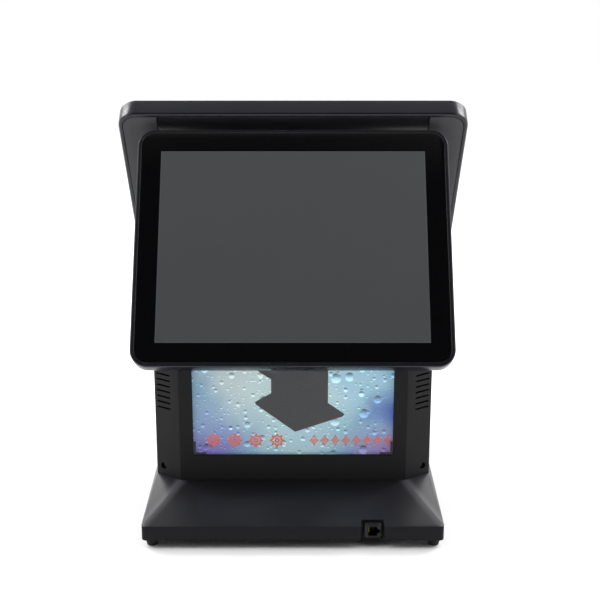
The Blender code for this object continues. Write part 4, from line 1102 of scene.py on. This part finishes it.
ornamentPlan = {
    "ornamentsLarge": {"points": 8, "radius": 0.0094, "inner": 0.0058, "stretch": 1.0, "count": 4,
                       "pitch": 0.0244, "middle": -0.0551},
    "ornamentsSmall": {"points": 4, "radius": 0.0054, "inner": 0.0028, "stretch": 1.45, "count": 8,
                       "pitch": 0.0122, "middle": 0.067},
}
ornamentDrop = 0.0377       # below the window's middle
ornamentLines = ((1.0, 0.62), (0.44, 0.14))     # outer and inner edge of each printed line, as shares


def buildOrnaments():
    # a row of plain line stars, large ones on the left and small ones on the right
    near, far = inkLayers["ornaments"]
    for name, plan in ornamentPlan.items():
        shape = bmesh.new()
        outline = starOutline(plan["points"], plan["radius"], plan["inner"], plan["stretch"])
        for outer, hole in ornamentLines:
            rows = [[shape.verts.new((x * scale, -proud, z * scale)) for x, z in outline]
                    for scale, proud in ((outer, near), (hole, near), (hole, far), (outer, far))]
            for row, after in zip(rows, rows[1:] + rows[:1]):
                for i in range(len(row)):
                    j = (i + 1) % len(row)
                    shape.faces.new((row[i], row[j], after[j], after[i]))
        place = Vector((plan["middle"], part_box("picture_film")[0].y, windowMiddle - ornamentDrop))
        row = repeated(name, toObject("ornament", shape, coralInk), Matrix.Translation(place), plan["count"],
                       1, plan["pitch"], 0, coralInk)
        alsoOn(row, "picture_film")


buildPicture()
buildOrnaments()
for clip in ("film_clip_left", "film_clip_right"):
    refined(clip, 0.0003, socketPlastic)
print("picture window made")


# ---- rear connectors, yoke and button

edgeWidths = {"io_plate": 0.0002, "lan_port": 0.0003, "usb_port_left": 0.0002, "usb_port_right": 0.0002,
              "dc_inlet": 0.0003, "neck_bracket": 0.0005, "neck_cover_left": 0.0022,
              "neck_cover_right": 0.0022,
              "power_button": 0.0003}
for node, width in edgeWidths.items():
    refined(node, width, zincPlate if node == "io_plate" else None, segments=3 if "cover" in node else 2)


neckScrewPlan = {"radius": 0.0036, "rise": 0.0008}


def buildNeckScrews():
    rise = neckScrewPlan["rise"]
    spots = []
    for end in ("front", "rear"):
        for side in ("left", "right"):
            a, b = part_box("neck_screw_" + end + "_" + side)
            spots.append((((a.x + b.x) / 2, (a.y + b.y) / 2, b.z - rise), (0, 0, 1)))
    caps = screwHead("neckScrewCap", neckScrewPlan["radius"], rise, platedSteel, "hex")
    alsoOn(scattered("neckScrewCaps", caps, spots, platedSteel), "neck_screw_front_left")


buildNeckScrews()
print("yoke and connectors made")


# ---- displays

displayPlan = {
    "customer": {"turn": 0, "tilt": 33.3, "corner": 0.020, "glass": 0.002, "frontEdge": 0.0018,
                 "activeWidth": 0.3041, "activeHeight": 0.2281, "etch": 0.06, "slots": 9, "slotX": 0.115},
    "main": {"turn": 180, "tilt": 36.4, "corner": 0.022, "glass": 0.003, "frontEdge": 0.0020,
             "activeWidth": 0.3379, "activeHeight": 0.2703, "etch": 0.30, "slots": 3, "slotX": 0.178},
}
framePlan = {       # both displays'
    "rim": 0.004, "gap": 0.0003, "ledge": 0.007, "rebate": 0.005, "web": 0.014, "webDepth": 0.003,
    "lip": 0.0003, "backLip": 0.0006, "backEdge": 0.0026, "glassEdge": 0.0005, "coverEdge": 0.0009,
    "slotWidth": 0.0032, "slotHeight": 0.026, "slotPitch": 0.0078, "slotDrop": 0.30,
    "hinge_leaf": 0.0006, "hinge_shaft": 0.0006, "hinge_nut_left": 0.0005, "hinge_nut_right": 0.0005,
}
glassPlan = {
    "panel": (0.0660, 0.0690, 0.0725), "edge": (0.085, 0.088, 0.092, 1),
    "border": (0.0022, 0.0022, 0.0026, 1),
    "edgeWidth": 0.0007, "cloud": 0.03, "coated": 0.1, "coat": {"Coat Weight": 0.3, "Coat Roughness": 0.03},
}


def displaySpace(label):
    a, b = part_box(label + "_hinge_shaft")
    plan = displayPlan[label]
    return Matrix.Translation((a + b) / 2) @ Matrix.Rotation(radians(plan["turn"]), 4, "Z") \
        @ Matrix.Rotation(-radians(plan["tilt"]), 4, "X")


def touchGlass(name, space, middle, width, height, etch):
    # black border round the grey panel that shows through; etch is the surface's roughness
    plan = glassPlan
    material, shader = startMaterial(name, plan["border"][:3], etch,
                                     **(plan["coat"] if etch < plan["coated"] else {}))
    back = space.inverted()
    point = addNode(material, "ShaderNodeMapping",
                    {"Vector": objectPoint(material), "Rotation": back.to_euler(),
                                                    "Location": back.to_translation()}).outputs["Vector"]
    parts = parted(material, point)

    def within(inset):
        sides = []
        for axis, centre, half in (("X", 0.0, width / 2), ("Z", middle, height / 2)):
            away = maths(material, "ABSOLUTE", maths(material, "SUBTRACT", parts[axis], centre))
            sides.append(maths(material, "LESS_THAN", away, half - inset))
        return maths(material, "MULTIPLY", *sides)

    cloud = fitted(material, noise(material, point, 6.0, 2.0), 1 - plan["cloud"], 1 + plan["cloud"])
    panel = mixed(material, within(plan["edgeWidth"]), plan["edge"], scaled(material, plan["panel"], cloud))
    link(material, mixed(material, within(0.0), plan["border"], panel), shader.inputs["Base Color"])
    smear = noise(material, point, 25.0, 6.0, Distortion=1.0)
    link(material, fitted(material, smear, etch * 0.7, etch * 1.5), shader.inputs["Roughness"])
    return material


def plateProfile(front, back, edge):
    # a flat piece whose back face has a rounded rim
    rim = [(inset, back - depth) for inset, depth in reversed(quarterRound(edge, 3))]
    return [(0, front), (0, back - edge)] + rim


def buildFrame(label, space):
    plan, shared = displayPlan[label], framePlan
    a, b = localBox(label + "_frame", space)
    front, back, rim, rebate, web = a.y, b.y, shared["rim"], shared["rebate"], shared["web"]
    seat = front + plan["glass"] + shared["gap"]
    behind = seat + shared["webDepth"]
    ledge = localBox(label + "_rear_cover", space)[0].y - shared["gap"]
    profile = [(inset, front + depth) for inset, depth in reversed(quarterRound(plan["frontEdge"], 5))]
    profile += [(rim - shared["lip"], front), (rim, front + shared["lip"]), (rim, seat), (web, seat),
                (web, behind), (shared["ledge"], behind), (shared["ledge"], ledge), (rebate, ledge),
                (rebate, back - shared["backLip"]), (rebate - shared["backLip"], back)]
    profile += [(inset, back - depth) for inset, depth in quarterRound(shared["backEdge"], 5)]
    middle = (0.0, (a.z + b.z) / 2)
    ring = slab(label + "Frame", space, middle, (b.x - a.x, b.z - a.z), plan["corner"], profile, framePlastic,
                closed=True, steps=14)
    standsFor(ring, label + "_frame")
    return middle


def buildDisplay(label):
    plan, shared = displayPlan[label], framePlan
    space = displaySpace(label)
    middle, gap = buildFrame(label, space), shared["gap"]

    a, b = localBox(label + "_touch_glass", space)
    material = touchGlass(label + "Glass", space, middle[1], plan["activeWidth"], plan["activeHeight"],
                          plan["etch"])
    profile = [(inset, a.y + depth) for inset, depth in quarterRound(shared["glassEdge"], 3)] + [(0, b.y)]
    glass = slab(label + "Glass", space, middle, (b.x - a.x, b.z - a.z), plan["corner"] - shared["rim"] - gap,
                 profile, material, steps=14)
    standsFor(glass, label + "_touch_glass")

    a, b = localBox(label + "_rear_cover", space)
    size, middle = (b.x - a.x, b.z - a.z), (0.0, (a.z + b.z) / 2)
    cover = slab(label + "RearCover", space, middle, size, plan["corner"] - shared["rebate"] - gap,
                 plateProfile(a.y, b.y, shared["coverEdge"]), rearPlastic, steps=14)
    if label == "main":
        recess = servicePlan
        plateA, plateB = localBox("main_service_plate", space)
        opening = (plateB.x - plateA.x + 2 * gap, plateB.z - plateA.z + gap + recess["open"])
        rise = plateB.z + recess["open"] - opening[1] / 2
        floor = plateB.y + recess["depth"]
        profile = [(0, plateA.y - recess["under"]), (0, floor - recess["flare"]), (-recess["flare"], floor),
                   (-recess["flare"], b.y + reach)]
        cutAway(cover, slab("recessCutter", space, (0.0, rise), opening, recess["corner"], profile, None))
    for side in (-1, 1):
        slot = stadium("coverSlot", shared["slotWidth"], shared["slotHeight"])
        spot = Matrix.Translation((side * plan["slotX"], b.y, middle[1] - size[1] * shared["slotDrop"]))
        cutAway(cover, repeated("coverVents", slot, space @ spot, plan["slots"], 1, shared["slotPitch"], 0))
    standsFor(cover, label + "_rear_cover")

    for part in ("hinge_leaf", "hinge_shaft", "hinge_nut_left", "hinge_nut_right"):
        refined(label + "_" + part, shared[part])
    return space


servicePlan = {
    "edge": 0.0006, "corner": 0.0055, "plateCorner": 0.0047, "open": 0.05, "under": 0.0205, "depth": 0.003,
    "flare": 0.0006, "screw": 0.0030, "head": 0.0009, "screwInset": 0.010, "screwHeight": 0.035,
    "proud": 0.0004,
}
coverScrewPlan = {"screw": 0.0028, "head": 0.0009, "inset": 0.016, "sunk": 0.0005}


customerSpace = buildDisplay("customer")
mainSpace = buildDisplay("main")


def buildServicePlate():
    plan = servicePlan
    a, b = localBox("main_service_plate", mainSpace)
    size, middle = (b.x - a.x, b.z - a.z), (0.0, (a.z + b.z) / 2)
    plate = slab("servicePlate", mainSpace, middle, size, plan["plateCorner"],
                 plateProfile(a.y, b.y, plan["edge"]), platePlastic, steps=6)
    standsFor(plate, "main_service_plate")
    head = screwHead("plateScrew", plan["screw"], plan["head"], blackCoat)
    aside = size[0] / 2 - plan["screwInset"]
    spots = [(mainSpace @ Vector((x, b.y + plan["proud"], middle[1] + z)),
              mainSpace.to_3x3() @ Vector((0, 1, 0)))
             for x in (-aside, aside) for z in (plan["screwInset"] - size[1] / 2, plan["screwHeight"])]
    alsoOn(scattered("servicePlateScrews", head, spots, blackCoat), "main_service_plate")


buildServicePlate()


def buildRearCoverScrews():
    plan = coverScrewPlan
    a, b = localBox("customer_rear_cover", customerSpace)
    head = screwHead("coverScrew", plan["screw"], plan["head"], blackCoat)
    spots = [(customerSpace @ Vector((x, b.y - plan["sunk"], z)), customerSpace.to_3x3() @ Vector((0, 1, 0)))
             for x in (a.x + plan["inset"], b.x - plan["inset"])
             for z in (a.z + plan["inset"], b.z - plan["inset"])]
    alsoOn(scattered("customerCoverScrews", head, spots, blackCoat), "customer_rear_cover")


buildRearCoverScrews()
print("displays made")
